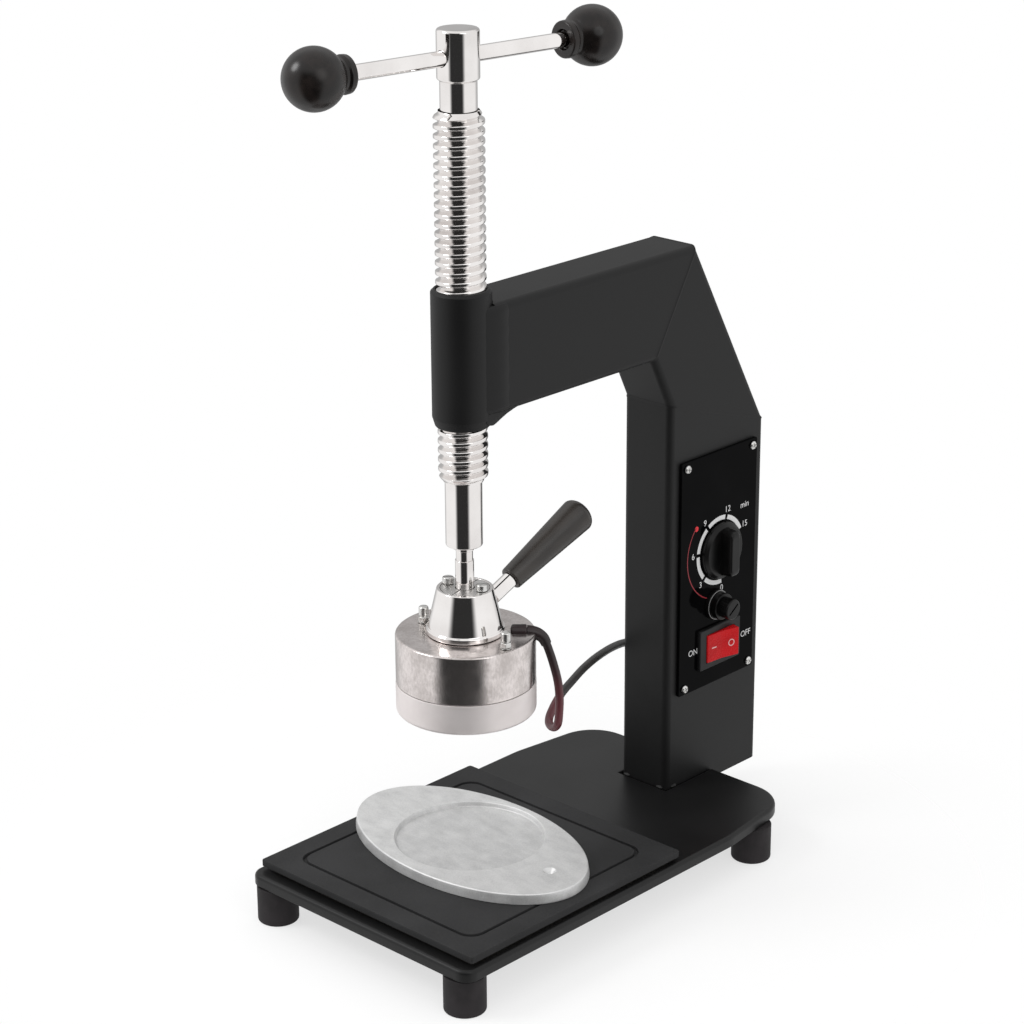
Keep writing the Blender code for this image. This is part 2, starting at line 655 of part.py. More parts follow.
def add_frame(machine, looks):
    """Column, shoulder and arm, mitred where they meet."""
    foot = ((COLUMN_FRONT_Y, FOOT_HEIGHT), (COLUMN_REAR_Y, FOOT_HEIGHT))
    lower = ((COLUMN_FRONT_Y, COLUMN_INNER_TOP), (COLUMN_REAR_Y, COLUMN_OUTER_TOP))
    upper = ((ARM_INNER_Y, ARM_UNDERSIDE), (ARM_OUTER_Y, ARM_TOP))
    front = ((ARM_FRONT_Y, ARM_UNDERSIDE), (ARM_FRONT_Y, ARM_TOP))
    shoulder_low = [shortened(a, b, GAP) for a, b in zip(lower, upper)]
    shoulder_high = [shortened(b, a, GAP) for a, b in zip(lower, upper)]
    column = make_object("column", box_section(COLUMN_DEPTH, foot, lower, True),
                         looks["paint"], machine)
    make_object("shoulder", box_section(ARM_HEIGHT, shoulder_low, shoulder_high),
                looks["paint"], machine)
    arm = make_object("arm", box_section(ARM_HEIGHT, upper, front), looks["paint"], machine)
    cope = BOSS_RADIUS + GAP
    cut(arm, "cut_arm_cope", turned(((cope, ARM_UNDERSIDE - CUT_OVERRUN),
                                     (cope, ARM_TOP + CUT_OVERRUN)), FINE_SIDES), machine)
    return column


def add_boss(machine, looks):
    bore = THREAD_RADIUS + GAP
    profile = ((BOSS_RADIUS - BOSS_UPPER_CHAMFER, BOSS_TOP),
               (BOSS_RADIUS, BOSS_TOP - BOSS_UPPER_CHAMFER),
               (BOSS_RADIUS, BOSS_BOTTOM + BOSS_LOWER_CHAMFER_HEIGHT),
               (BOSS_RADIUS - BOSS_LOWER_CHAMFER_WIDTH, BOSS_BOTTOM),
               (bore, BOSS_BOTTOM), (bore, BOSS_TOP))
    make_object("screw_boss", turned(profile, FINE_SIDES, closed=True), looks["paint"], machine)


def thread_column(turn_share):
    """Heights and radii of the thread at one angle, from its top down."""
    crest = THREAD_CREST_SHARE
    flank = THREAD_FLANK_SHARE
    breaks = ((0, THREAD_RADIUS), (crest, THREAD_RADIUS), (crest + flank, THREAD_ROOT_RADIUS))
    turns = math.ceil((THREAD_TOP - THREAD_BOTTOM) / THREAD_PITCH)
    points = []
    for turn in range(-2, turns + 2):
        for share, radius in breaks:
            z = THREAD_TOP - THREAD_PITCH * (turn + share - turn_share)
            if z >= THREAD_TOP or z <= THREAD_BOTTOM:
                radius = THREAD_ROOT_RADIUS
            points.append((radius, min(max(z, THREAD_BOTTOM), THREAD_TOP)))
    return points


def add_press_screw(machine, looks):
    """One turned bar: head, neck, trapezoidal thread, plain tip, stem and button."""
    above = ((HEAD_RADIUS - HEAD_CHAMFER, HEAD_TOP), (HEAD_RADIUS, HEAD_TOP - HEAD_CHAMFER),
             (HEAD_RADIUS, HEAD_BOTTOM + HEAD_CHAMFER), (NECK_RADIUS, HEAD_BOTTOM),
             (NECK_RADIUS, THREAD_TOP))
    below = ((TIP_RADIUS, THREAD_BOTTOM), (TIP_RADIUS, TIP_BOTTOM + TIP_CHAMFER),
             (TIP_RADIUS - TIP_CHAMFER, TIP_BOTTOM), (STEM_RADIUS, TIP_BOTTOM),
             (STEM_RADIUS, STEM_GROOVE_TOP), (STEM_GROOVE_RADIUS, STEM_GROOVE_TOP),
             (STEM_GROOVE_RADIUS, STEM_GROOVE_BOTTOM), (STEM_RADIUS, STEM_GROOVE_BOTTOM),
             (STEM_RADIUS, BUTTON_TOP), (BUTTON_RADIUS, BUTTON_TOP),
             (BUTTON_RADIUS, BUTTON_BOTTOM))
    shape = bmesh.new()
    known = {}

    def vertex(angle, radius, z):
        point = (radius * math.cos(angle), radius * math.sin(angle), z)
        key = tuple(round(value / GAP * 100) for value in point)
        if key not in known:
            known[key] = shape.verts.new(point)
        return known[key]

    columns = []
    for side in range(THREAD_SIDES + 1):
        angle = 2 * math.pi * side / THREAD_SIDES
        profile = [*above, *thread_column(side / THREAD_SIDES), *below]
        columns.append([vertex(angle, radius, z) for radius, z in profile])
    for left, right in zip(columns, columns[1:]):
        for i in range(len(left) - 1):
            corners = list(dict.fromkeys((left[i], left[i + 1], right[i + 1], right[i])))
            if len(corners) > 2 and not shape.faces.get(corners):
                shape.faces.new(corners)
    shape.faces.new([column[0] for column in columns[:-1]])
    shape.faces.new([column[-1] for column in columns[:-1]])
    bmesh.ops.recalc_face_normals(shape, faces=shape.faces[:])
    screw = make_object("press_screw", shape, looks["chrome"], machine)
    reach = HEAD_RADIUS + CUT_OVERRUN
    bore = BAR_RADIUS + GAP
    cut(screw, "cut_bar_hole", turned(((bore, -reach), (bore, reach)), ROUND_SIDES), machine,
        (0, 0, BAR_HEIGHT), (math.pi / 2, 0, BAR_TURN - math.pi / 2))


def ball_profile():
    """Ball knob along +Z from its collar at -BALL_COLLAR_REACH to the ball's far pole."""
    neck_angle = math.asin(BALL_COLLAR_RADIUS / BALL_RADIUS)
    bore = BAR_RADIUS + GAP
    bore_top = -BALL_RADIUS * BAR_END_DEPTH_SHARE + GAP
    lip = BALL_COLLAR_RADIUS - BALL_COLLAR_LIP
    profile = [(bore, bore_top), (bore, -BALL_COLLAR_REACH), (lip, -BALL_COLLAR_REACH),
               (BALL_COLLAR_RADIUS, BALL_COLLAR_LIP - BALL_COLLAR_REACH)]
    start = math.pi - neck_angle
    last = BALL_POLE_ANGLE
    for ring in range(BALL_RINGS + 1):
        angle = start + (last - start) * ring / BALL_RINGS
        profile.append((BALL_RADIUS * math.sin(angle), BALL_RADIUS * math.cos(angle)))
    profile.append((BALL_RADIUS * math.sin(last / 2), BALL_RADIUS))
    return profile


def add_tommy_bar(machine, looks):
    bar_frame = make_empty("bar_frame", machine, (0, 0, BAR_HEIGHT),
                           (math.pi / 2, 0, BAR_TURN - math.pi / 2))
    end = BAR_REACH - BALL_RADIUS * BAR_END_DEPTH_SHARE
    make_object("tommy_bar", turned(((BAR_RADIUS, -end), (BAR_RADIUS, end)), SMALL_SIDES),
                looks["chrome"], bar_frame)
    for name, side in (("ball_knob_front", 1), ("ball_knob_rear", -1)):
        rotation = (0, 0, 0) if side > 0 else (math.pi, 0, 0)
        make_object(name, turned(ball_profile(), ROUND_SIDES), looks["bakelite"], bar_frame,
                    (0, 0, side * BAR_REACH), rotation)


def handle_frame_of(machine):
    """Empty whose +Z runs out along the side handle, starting on the screw's axis."""
    return make_empty("handle_frame", machine, (0, 0, HANDLE_START_HEIGHT),
                      (0, math.pi / 2 - HANDLE_RISE, HANDLE_TURN))


def add_cone(machine, handle_frame, looks):
    """Cone cap with its button chamber, split retainer, pad and ring nut."""
    ledge = CONE_TOP - RETAINER_THICKNESS - GAP
    profile = ((CONE_BORE_RADIUS, ledge), (RETAINER_RADIUS, ledge), (RETAINER_RADIUS, CONE_TOP),
               (CONE_TOP_RADIUS - CONE_EDGE, CONE_TOP), (CONE_TOP_RADIUS, CONE_TOP - CONE_EDGE),
               (CONE_BOTTOM_RADIUS, CONE_BOTTOM), (CONE_FLANGE_RADIUS, CONE_BOTTOM - CONE_EDGE),
               (CONE_FLANGE_RADIUS, CONE_FLANGE_BOTTOM),
               (CONE_SPIGOT_RADIUS, CONE_FLANGE_BOTTOM),
               (CONE_SPIGOT_RADIUS, CONE_FLANGE_BOTTOM - CONE_SPIGOT_LENGTH))
    shape = turned(((CONE_BORE_RADIUS, CONE_BORE_FLOOR), *profile), FINE_SIDES)
    cone = make_object("cone_cap", shape, looks["chrome"], machine)
    socket = HANDLE_SOCKET_RADIUS + GAP
    drill(cone, "cut_handle_socket", socket, HANDLE_SOCKET_START - GAP,
          CONE_FLANGE_RADIUS + CUT_OVERRUN * 2, handle_frame)
    make_object("thrust_pad",
                turned(((BUTTON_RADIUS, THRUST_PAD_BOTTOM),
                        (BUTTON_RADIUS, THRUST_PAD_BOTTOM + THRUST_PAD_THICKNESS)), ROUND_SIDES),
                looks["bronze"], machine)
    nut_bore = CONE_SPIGOT_RADIUS + GAP
    nut_top = SHELL_TOP - HEAD_SHELL_TOP_WALL - GAP
    nut_bottom = nut_top - CONE_NUT_HEIGHT
    make_object("cone_nut", turned(((CONE_NUT_RADIUS, nut_top), (CONE_NUT_RADIUS, nut_bottom),
                                    (nut_bore, nut_bottom), (nut_bore, nut_top)), FINE_SIDES,
                                   closed=True), looks["zinc"], machine)
    add_retainers(machine, cone, ledge, looks)


def half_ring(inner, outer, split, steps=12):
    """Outline of the +X half of a flat ring, kept a split clear of the other half."""
    def arc(radius):
        limit = math.acos(split / radius)
        return [(radius * math.cos(limit * (2 * i / steps - 1)),
                 radius * math.sin(limit * (2 * i / steps - 1))) for i in range(steps + 1)]
    return arc(outer) + arc(inner)[::-1]


def add_retainers(machine, cone, ledge, looks):
    low = ledge + GAP
    high = low + RETAINER_THICKNESS
    outline = half_ring(STEM_RADIUS + GAP, RETAINER_RADIUS - GAP, RETAINER_SPLIT / 2)
    bore = RETAINER_SCREW_RADIUS + GAP
    head_seat = high + GAP
    for side, turn in (("right", RETAINER_SCREW_TURN), ("left", RETAINER_SCREW_TURN + math.pi)):
        x = RETAINER_SCREW_REACH * math.cos(turn)
        y = RETAINER_SCREW_REACH * math.sin(turn)
        half = make_object("retainer_" + side, prism(outline, low, high), looks["steel"],
                           machine, (0, 0, 0), (0, 0, turn))
        drill(half, "cut_retainer_" + side, bore, low - CUT_OVERRUN, high + CUT_OVERRUN,
              machine, x, y)
        tip = head_seat - RETAINER_SCREW_LENGTH
        drill(cone, "cut_cone_screw_" + side, bore, tip - GAP, high, machine, x, y)
        screw = screw_shape(RETAINER_SCREW_RADIUS, RETAINER_SCREW_HEAD_RADIUS,
                            RETAINER_SCREW_HEAD_HEIGHT, RETAINER_SCREW_LENGTH)
        make_object("retainer_screw_" + side, screw, looks["zinc"], machine, (x, y, head_seat))


def add_heating_head(machine, looks):
    """Shell, heating plate and what is clamped between them."""
    top = SHELL_TOP
    ceiling = top - HEAD_SHELL_TOP_WALL
    inside = HEAD_SHELL_RADIUS - HEAD_SHELL_SIDE_WALL
    hole = CONE_SPIGOT_RADIUS + GAP
    shell_shape = turned(((hole, top), (HEAD_SHELL_RADIUS - HEAD_SHELL_EDGE, top),
                          (HEAD_SHELL_RADIUS, top - HEAD_SHELL_EDGE),
                          (HEAD_SHELL_RADIUS, SHELL_BOTTOM), (inside, SHELL_BOTTOM),
                          (inside, ceiling), (hole, ceiling)), FINE_SIDES, closed=True)
    shell = make_object("heater_shell", shell_shape, looks["chrome"], machine)
    low = HEATING_PLATE_HEIGHT
    element_seat = HEATING_PLATE_TOP - ELEMENT_THICKNESS - GAP
    pocket = ELEMENT_RADIUS + GAP
    edge = HEATING_PLATE_EDGE
    plate_shape = turned(((pocket, element_seat), (pocket, HEATING_PLATE_TOP),
                          (HEATING_PLATE_RADIUS, HEATING_PLATE_TOP),
                          (HEATING_PLATE_RADIUS, low + edge),
                          (HEATING_PLATE_RADIUS - edge * (1 - math.sqrt(0.5)),
                           low + edge * (1 - math.sqrt(0.5))),
                          (HEATING_PLATE_RADIUS - edge, low)), FINE_SIDES)
    plate = make_object("heating_plate", plate_shape, looks["aluminium"], machine)
    element_bottom = element_seat + GAP
    make_object("heating_element",
                turned(((ELEMENT_RADIUS, element_bottom),
                        (ELEMENT_RADIUS, element_bottom + ELEMENT_THICKNESS)), ROUND_SIDES),
                looks["mica"], machine)
    insulation_low = HEATING_PLATE_TOP + GAP
    insulation_high = insulation_low + INSULATION_THICKNESS
    insulation = make_object("insulation_disc",
                             turned(((INSULATION_RADIUS, insulation_low),
                                     (INSULATION_RADIUS, insulation_high)), ROUND_SIDES),
                             looks["fibre"], machine)
    thermostat_low = insulation_high + GAP
    make_object("thermostat",
                turned(((THERMOSTAT_RADIUS, thermostat_low),
                        (THERMOSTAT_RADIUS, thermostat_low + THERMOSTAT_HEIGHT)), SMALL_SIDES),
                looks["steel"], machine, (THERMOSTAT_REACH * math.cos(THERMOSTAT_TURN),
                                          THERMOSTAT_REACH * math.sin(THERMOSTAT_TURN), 0))
    seat = top + GAP
    neck = seat + CLAMP_NUT_HEIGHT
    head_low = neck + CLAMP_NECK_HEIGHT
    tip = HEATING_PLATE_TOP - CLAMP_BITE
    bore = CLAMP_RADIUS + GAP
    places = {"right": (CLAMP_RIGHT_REACH, CLAMP_RIGHT_TURN),
              "left": (CLAMP_LEFT_REACH, CLAMP_LEFT_TURN)}
    for side, (reach, turn) in places.items():
        x = reach * math.cos(turn)
        y = reach * math.sin(turn)
        bolt = turned(((CLAMP_HEAD_RADIUS, head_low + CLAMP_HEAD_HEIGHT),
                       (CLAMP_HEAD_RADIUS, head_low), (CLAMP_RADIUS, head_low),
                       (CLAMP_RADIUS, neck), (CLAMP_NUT_RADIUS, neck), (CLAMP_NUT_RADIUS, seat),
                       (CLAMP_RADIUS, seat), (CLAMP_RADIUS, tip)), SMALL_SIDES)
        make_object("clamp_bolt_" + side, bolt, looks["zinc"], machine, (x, y, 0))
        drill(shell, "cut_shell_" + side, bore, ceiling - CUT_OVERRUN, top + CUT_OVERRUN,
              machine, x, y)
        drill(insulation, "cut_insulation_" + side, bore, insulation_low - CUT_OVERRUN,
              insulation_high + CUT_OVERRUN, machine, x, y)
        drill(plate, "cut_plate_" + side, bore, tip - GAP, HEATING_PLATE_TOP + CUT_OVERRUN,
              machine, x, y)
    return shell


def add_handle(handle_frame, looks):
    shank = ((HANDLE_SOCKET_RADIUS, HANDLE_SOCKET_START),
             (HANDLE_SOCKET_RADIUS, HANDLE_SHANK_START), (HANDLE_SHANK_RADIUS, HANDLE_SHANK_START),
             (HANDLE_SHANK_RADIUS, GRIP_START - GAP), (GRIP_BORE_RADIUS, GRIP_START - GAP),
             (GRIP_BORE_RADIUS, GRIP_START + GRIP_BORE_LENGTH))
    make_object("handle_shank", turned(shank, SMALL_SIDES), looks["chrome"], handle_frame)
    bore = GRIP_BORE_RADIUS + GAP
    bore_end = GRIP_START + GRIP_BORE_LENGTH + GAP
    end = GRIP_START + GRIP_LENGTH
    dome = GRIP_END_RADIUS * GRIP_ROUND_SHARE
    profile = [(bore, bore_end), (bore, GRIP_START),
               (GRIP_START_RADIUS - GRIP_START_EDGE, GRIP_START),
               (GRIP_START_RADIUS, GRIP_START + GRIP_START_EDGE),
               (GRIP_END_RADIUS, end - dome)]
    for step in range(1, GRIP_DOME_STEPS + 1):
        angle = GRIP_DOME_SWEEP * step / GRIP_DOME_STEPS
        profile.append((GRIP_END_RADIUS * math.cos(angle), end - dome * (1 - math.sin(angle))))
    make_object("handle_grip", turned(profile, ROUND_SIDES), looks["bakelite"], handle_frame)


def add_grommet(machine, shell, looks):
    """Rubber sleeve lying in a notch of the shell's top edge, where the lead comes out."""
    frame = make_empty("grommet_frame", machine, (0, 0, GROMMET_HEIGHT),
                       (0, math.pi / 2, GROMMET_TURN))
    wide = 2 * GROMMET_RADIUS
    edge = GROMMET_RADIUS * GROMMET_CORNER_SHARE
    sleeve = prism(rounded_rectangle(wide, wide, edge), GROMMET_START, GROMMET_END)
    make_object("lead_grommet", sleeve, looks["rubber"], frame)
    notch = prism(rounded_rectangle(wide + 2 * GAP, wide + 2 * GAP, edge + GAP),
                  GROMMET_START - GAP, HEAD_SHELL_RADIUS + CUT_OVERRUN)
    cut(shell, "cut_grommet_notch", notch, frame)


def gland_profile(bore=None):
    """Gland along +Z out of a wall whose outer face is z = 0."""
    nut = GAP + GLAND_NUT_LENGTH
    inside = -FRAME_WALL - GLAND_INSIDE
    profile = [(GLAND_DOME_END_RADIUS, GLAND_LENGTH), (GLAND_DOME_RADIUS, nut),
               (GLAND_NUT_RADIUS, nut), (GLAND_NUT_RADIUS, GAP), (GLAND_THREAD_RADIUS, GAP),
               (GLAND_THREAD_RADIUS, inside)]
    if bore:
        profile += [(bore, inside), (bore, GLAND_LENGTH)]
    return profile


def add_glands(machine, column, looks):
    """Heater lead's gland in the column's -X wall, mains inlet gland in its rear wall."""
    hole = GLAND_THREAD_RADIUS + GAP
    side_frame = make_empty("lead_gland_frame", machine,
                            (-FRAME_SIDE, LEAD_GLAND_Y, LEAD_GLAND_Z), (0, -math.pi / 2, 0))
    make_object("lead_gland", turned(gland_profile(), SMALL_SIDES), looks["rubber"], side_frame)
    drill(column, "cut_lead_gland", hole, -FRAME_WALL - CUT_OVERRUN, CUT_OVERRUN, side_frame)
    rear_frame = make_empty("mains_gland_frame", machine,
                            (0, COLUMN_REAR_Y, MAINS_GLAND_Z), (-math.pi / 2, 0, 0))
    make_object("mains_gland", turned(gland_profile(MAINS_BORE_RADIUS), SMALL_SIDES, closed=True),
                looks["rubber"], rear_frame)
    drill(column, "cut_mains_gland", hole, -FRAME_WALL - CUT_OVERRUN, CUT_OVERRUN, rear_frame)


def add_terminal_block(machine, looks):
    """Screw terminals on the inside of the column's front wall."""
    seat = COLUMN_FRONT_Y + FRAME_WALL + GAP
    shape = moved(block(TERMINAL_WIDTH, TERMINAL_DEPTH, TERMINAL_Z, TERMINAL_Z + TERMINAL_HEIGHT),
                  (0, seat + TERMINAL_DEPTH / 2, 0))
    terminal = make_object("terminal_block", shape, looks["bakelite"], machine)
    pitch = TERMINAL_WIDTH / TERMINAL_POST_COUNT
    face = seat + TERMINAL_DEPTH
    for i in range(TERMINAL_POST_COUNT):
        x = (i - (TERMINAL_POST_COUNT - 1) / 2) * pitch
        well = turned(((TERMINAL_POST_RADIUS, -TERMINAL_POST_HEIGHT),
                       (TERMINAL_POST_RADIUS, CUT_OVERRUN)), SMALL_SIDES)
        cut(terminal, f"cut_terminal_{i + 1}", well, machine,
            (x, face, TERMINAL_Z + TERMINAL_HEIGHT / 2), (-math.pi / 2, 0, 0))


def add_panel(machine, column, looks):
    """Gloss plate over the column's side opening, with four screws; +Z of its frame is +X."""
    frame = make_empty("panel_frame", machine, (FRAME_SIDE, COLUMN_CENTRE_Y, PANEL_CENTRE_Z),
                       Matrix(((0, 0, 1), (1, 0, 0), (0, 1, 0))).to_euler())
    face = GAP + PANEL_THICKNESS
    panel = make_object("control_panel",
                        prism(rounded_rectangle(PANEL_WIDTH, PANEL_HEIGHT, PANEL_CORNER),
                              GAP, face), looks["gloss"], frame)
    opening = block(PANEL_OPENING_WIDTH, PANEL_OPENING_HEIGHT,
                    -FRAME_WALL - CUT_OVERRUN, CUT_OVERRUN)
    cut(column, "cut_panel_opening", opening, frame)
    bore = PANEL_SCREW_RADIUS + GAP
    seat = face + GAP
    places = {"upper_front": (-1, 1), "upper_rear": (1, 1),
              "lower_front": (-1, -1), "lower_rear": (1, -1)}
    for corner, (side_u, side_v) in places.items():
        u = side_u * PANEL_SCREW_U
        v = side_v * PANEL_SCREW_V
        screw = screw_shape(PANEL_SCREW_RADIUS, PANEL_SCREW_HEAD_RADIUS, PANEL_SCREW_HEAD_HEIGHT,
                            PANEL_SCREW_LENGTH)
        make_object("panel_screw_" + corner, screw, looks["zinc"], frame, (u, v, seat))
        drill(panel, "cut_panel_" + corner, bore, -CUT_OVERRUN, face + CUT_OVERRUN, frame, u, v)
        drill(column, "cut_column_" + corner, bore, -FRAME_WALL - CUT_OVERRUN, CUT_OVERRUN,
              frame, u, v)
    return frame, panel


def knob_shape(low):
    """Round skirt of the knob; its finger bar is joined on and its shaft socket cut afterwards."""
    return turned(((KNOB_RADIUS, low), (KNOB_RADIUS, low + KNOB_SKIRT_HEIGHT / 2),
                   (KNOB_TOP_RADIUS, low + KNOB_SKIRT_HEIGHT)), FINE_SIDES)


def add_timer(frame, panel, looks):
    place = make_empty("timer_frame", frame, (TIMER_U, TIMER_V, 0))
    hole = TIMER_SHAFT_RADIUS + GAP
    drill(panel, "cut_timer_shaft", hole, -CUT_OVERRUN, PANEL_THICKNESS + CUT_OVERRUN, place)
    back = -TIMER_BODY_DEPTH
    low = PANEL_THICKNESS + 2 * GAP
    shaft_top = low + KNOB_SOCKET_DEPTH - GAP
    body = prism(rounded_rectangle(TIMER_BODY_WIDTH, TIMER_BODY_HEIGHT, TIMER_BODY_CORNER),
                 back, 0)
    body_object = make_object("timer_body", body, looks["steel"], place)
    shaft = make_object("timer_shaft_guide",
                        turned(((TIMER_SHAFT_RADIUS, back / 2),
                                (TIMER_SHAFT_RADIUS, shaft_top)), SMALL_SIDES), None, place)
    join(body_object, shaft)
    shape = knob_shape(low)
    knob = make_object("timer_knob", shape, looks["bakelite"], place)
    narrow = KNOB_BAR_TAPER_SHARE
    corner = KNOB_BAR_WIDTH * KNOB_BAR_CORNER_SHARE
    bar = skin([flat_ring(rounded_rectangle(KNOB_BAR_WIDTH, KNOB_BAR_LENGTH, corner),
                          low + KNOB_SKIRT_HEIGHT / 2),
                flat_ring(rounded_rectangle(KNOB_BAR_WIDTH * narrow, KNOB_BAR_LENGTH * narrow,
                                            corner), low + KNOB_HEIGHT)])
    join(knob, make_object("knob_bar_guide", bar, None, place))
    drill(knob, "cut_knob_socket", hole, low - CUT_OVERRUN, low + KNOB_SOCKET_DEPTH, place)


def join(target, guide):
    """Union a guide body into an object."""
    guide.hide_render = True
    guide.display_type = 'WIRE'
    modifier = target.modifiers.new(guide.name, 'BOOLEAN')
    modifier.operation = 'UNION'
    modifier.solver = 'EXACT'
    modifier.object = guide


def add_fuse(frame, panel, looks):
    """Panel fuse holder: body, nut behind the panel, cap and the fuse that the cap draws out."""
    place = make_empty("fuse_frame", frame, (FUSE_U, FUSE_V, 0))
    drill(panel, "cut_fuse_holder", FUSE_THREAD_RADIUS + GAP, -CUT_OVERRUN,
          PANEL_THICKNESS + CUT_OVERRUN, place, sides=ROUND_SIDES)
    seat = PANEL_THICKNESS + 2 * GAP
    flange = seat + FUSE_FLANGE_THICKNESS
    nose = seat + FUSE_NOSE_HEIGHT
    back = -FUSE_BODY_LENGTH
    bore_floor = back + FUSE_FLANGE_THICKNESS
    holder = turned(((FUSE_BORE_RADIUS, bore_floor), (FUSE_BORE_RADIUS, nose),
                     (FUSE_NOSE_RADIUS, nose), (FUSE_NOSE_RADIUS, flange),
                     (FUSE_FLANGE_RADIUS, flange), (FUSE_FLANGE_RADIUS, seat),
                     (FUSE_THREAD_RADIUS, seat), (FUSE_THREAD_RADIUS, back)), ROUND_SIDES)
    make_object("fuse_holder", holder, looks["bakelite"], place)
    nut_bore = FUSE_THREAD_RADIUS + GAP
    make_object("fuse_nut", turned(((FUSE_NUT_RADIUS, 0), (FUSE_NUT_RADIUS, -FUSE_NUT_THICKNESS),
                                    (nut_bore, -FUSE_NUT_THICKNESS), (nut_bore, 0)), ROUND_SIDES,
                                   closed=True), looks["zinc"], place)
    under = nose + GAP
    top = seat + FUSE_CAP_TOP
    stem_end = under - FUSE_CAP_STEM_LENGTH
    cap = turned(((FUSE_CAP_RADIUS - FUSE_CAP_EDGE, top), (FUSE_CAP_RADIUS, top - FUSE_CAP_EDGE),
                  (FUSE_CAP_RADIUS, under), (FUSE_CAP_STEM_RADIUS, under),
                  (FUSE_CAP_STEM_RADIUS, stem_end)), SMALL_SIDES)
    make_object("fuse_cap", cap, looks["bakelite"], place)
    link_top = stem_end - GAP
    make_object("fuse_link", turned(((FUSE_LINK_RADIUS, link_top),
                                     (FUSE_LINK_RADIUS, link_top - FUSE_LINK_LENGTH)),
                                    SMALL_SIDES), looks["glass"], place)


def rocker_outline():
    """Side view (u, depth) of the rocker about its pivot: dished face, round ends, keel."""
    half = ROCKER_LENGTH / 2
    reach = math.hypot(half, ROCKER_END_RISE)
    end_angle = math.atan2(ROCKER_END_RISE, half)
    low_angle = -math.asin(ROCKER_BELOW / 2 / reach)
    right = []
    for step in range(4):
        angle = low_angle + (end_angle - low_angle) * step / 3
        right.append((half * math.cos(angle) / math.cos(end_angle), reach * math.sin(angle)))
    keel = (half * ROCKER_KEEL_SHARE, -ROCKER_BELOW)
    left = [(-u, h) for u, h in reversed(right)]
    return [keel, *right, (0, ROCKER_MIDDLE_RISE), *left, (-keel[0], keel[1])]


def add_switch(frame, panel, looks):
    """Rocker switch: the body with its bezel, and the rocker that tips in its well."""
    place = make_empty("switch_frame", frame, (SWITCH_U, SWITCH_V, 0))
    body_hole = block(SWITCH_BODY_WIDTH + 2 * GAP, SWITCH_BODY_HEIGHT + 2 * GAP,
                      -CUT_OVERRUN, PANEL_THICKNESS + CUT_OVERRUN)
    cut(panel, "cut_switch_body", body_hole, place)
    seat = PANEL_THICKNESS + 2 * GAP
    front = seat + SWITCH_BEZEL_THICKNESS
    bezel = rounded_rectangle(SWITCH_BEZEL_WIDTH, SWITCH_BEZEL_HEIGHT, SWITCH_BEZEL_CORNER)
    body = rounded_rectangle(SWITCH_BODY_WIDTH, SWITCH_BODY_HEIGHT, SWITCH_BEZEL_CORNER)
    shape = skin([flat_ring(body, -SWITCH_BODY_DEPTH), flat_ring(body, seat),
                  flat_ring(bezel, seat), flat_ring(bezel, front)])
    bevel_where(shape, rim_at(front), SWITCH_BEZEL_CORNER / 2, 1)
    switch = make_object("switch_body", shape, looks["plastic"], place)
    well_width = 2 * (math.hypot(ROCKER_LENGTH / 2, ROCKER_END_RISE) + GAP)
    well_height = ROCKER_HEIGHT + 2 * GAP
    well = block(well_width, well_height, front - SWITCH_WELL_DEPTH, front + CUT_OVERRUN)
    cut(switch, "cut_switch_well", well, place)
    pivot = make_empty("rocker_pivot", place, (0, 0, front - ROCKER_PIVOT_DEPTH),
                       (0, -ROCKER_TILT, 0))
    half = ROCKER_HEIGHT / 2
    outline = rocker_outline()
    rocker = skin([[(u, -half, h) for u, h in outline], [(u, half, h) for u, h in outline]])
    make_object("power_rocker", rocker, looks["red"], pivot)


def smooth_route(points, count):
    """Even points on a smooth curve through the route's own; both end runs stay straight."""
    dense = []
    for a, b, c, d in zip(points, points[1:], points[2:], points[3:]):
        before, span, after = (math.sqrt((q - p).length) for p, q in ((a, b), (b, c), (c, d)))
        leave = (b - a) / before - (c - a) / (before + span) + (c - b) / span
        arrive = (c - b) / span - (d - b) / (span + after) + (d - c) / after
        dense += interpolate_bezier(b, b + leave * span / 3, c - arrive * span / 3, c,
                                    LEAD_CURVE_STEPS)[:-1]
    dense.append(points[-2])
    reached = [0.0]
    for first, second in zip(dense, dense[1:]):
        reached.append(reached[-1] + (second - first).length)
    even = []
    index = 0
    for i in range(count):
        target = reached[-1] * i / (count - 1)
        while index < len(dense) - 2 and reached[index + 1] < target:
            index += 1
        share = (target - reached[index]) / (reached[index + 1] - reached[index])
        even.append(dense[index].lerp(dense[index + 1], min(share, 1)))
    route = [points[0], *even, points[-1]]
    return route, sum((q - p).length for p, q in zip(route, route[1:]))


def add_lead(machine, looks):
    """Heater lead as a tube along its real route, from the grommet to the gland."""
    out = Vector((math.cos(GROMMET_TURN), math.sin(GROMMET_TURN), 0))
    start = out * (GROMMET_END + GAP) + Vector((0, 0, GROMMET_HEIGHT))
    end = Vector((-FRAME_SIDE - GLAND_LENGTH - GAP, LEAD_GLAND_Y, LEAD_GLAND_Z))
    points = [start, start + out * LEAD_STRAIGHT]
    points += [Vector(point) for point in LEAD_ROUTE]
    points += [end - Vector((LEAD_STRAIGHT, 0, 0)), end]
    route, length = smooth_route(points, LEAD_POINT_COUNT)
    curve = bpy.data.curves.new("heater_lead", 'CURVE')
    curve.dimensions = '3D'
    curve.bevel_depth = LEAD_RADIUS
    curve.bevel_resolution = 2
    curve.use_fill_caps = True
    spline = curve.splines.new('POLY')
    spline.points.add(len(route) - 1)
    for made, point in zip(spline.points, route):
        made.co = (*point, 1)
    curve.materials.append(looks["cable"])
    lead = bpy.data.objects.new("heater_lead", curve)
    bpy.context.scene.collection.objects.link(lead)
    lead.parent = machine
    print("heater lead length", round(length, 4))


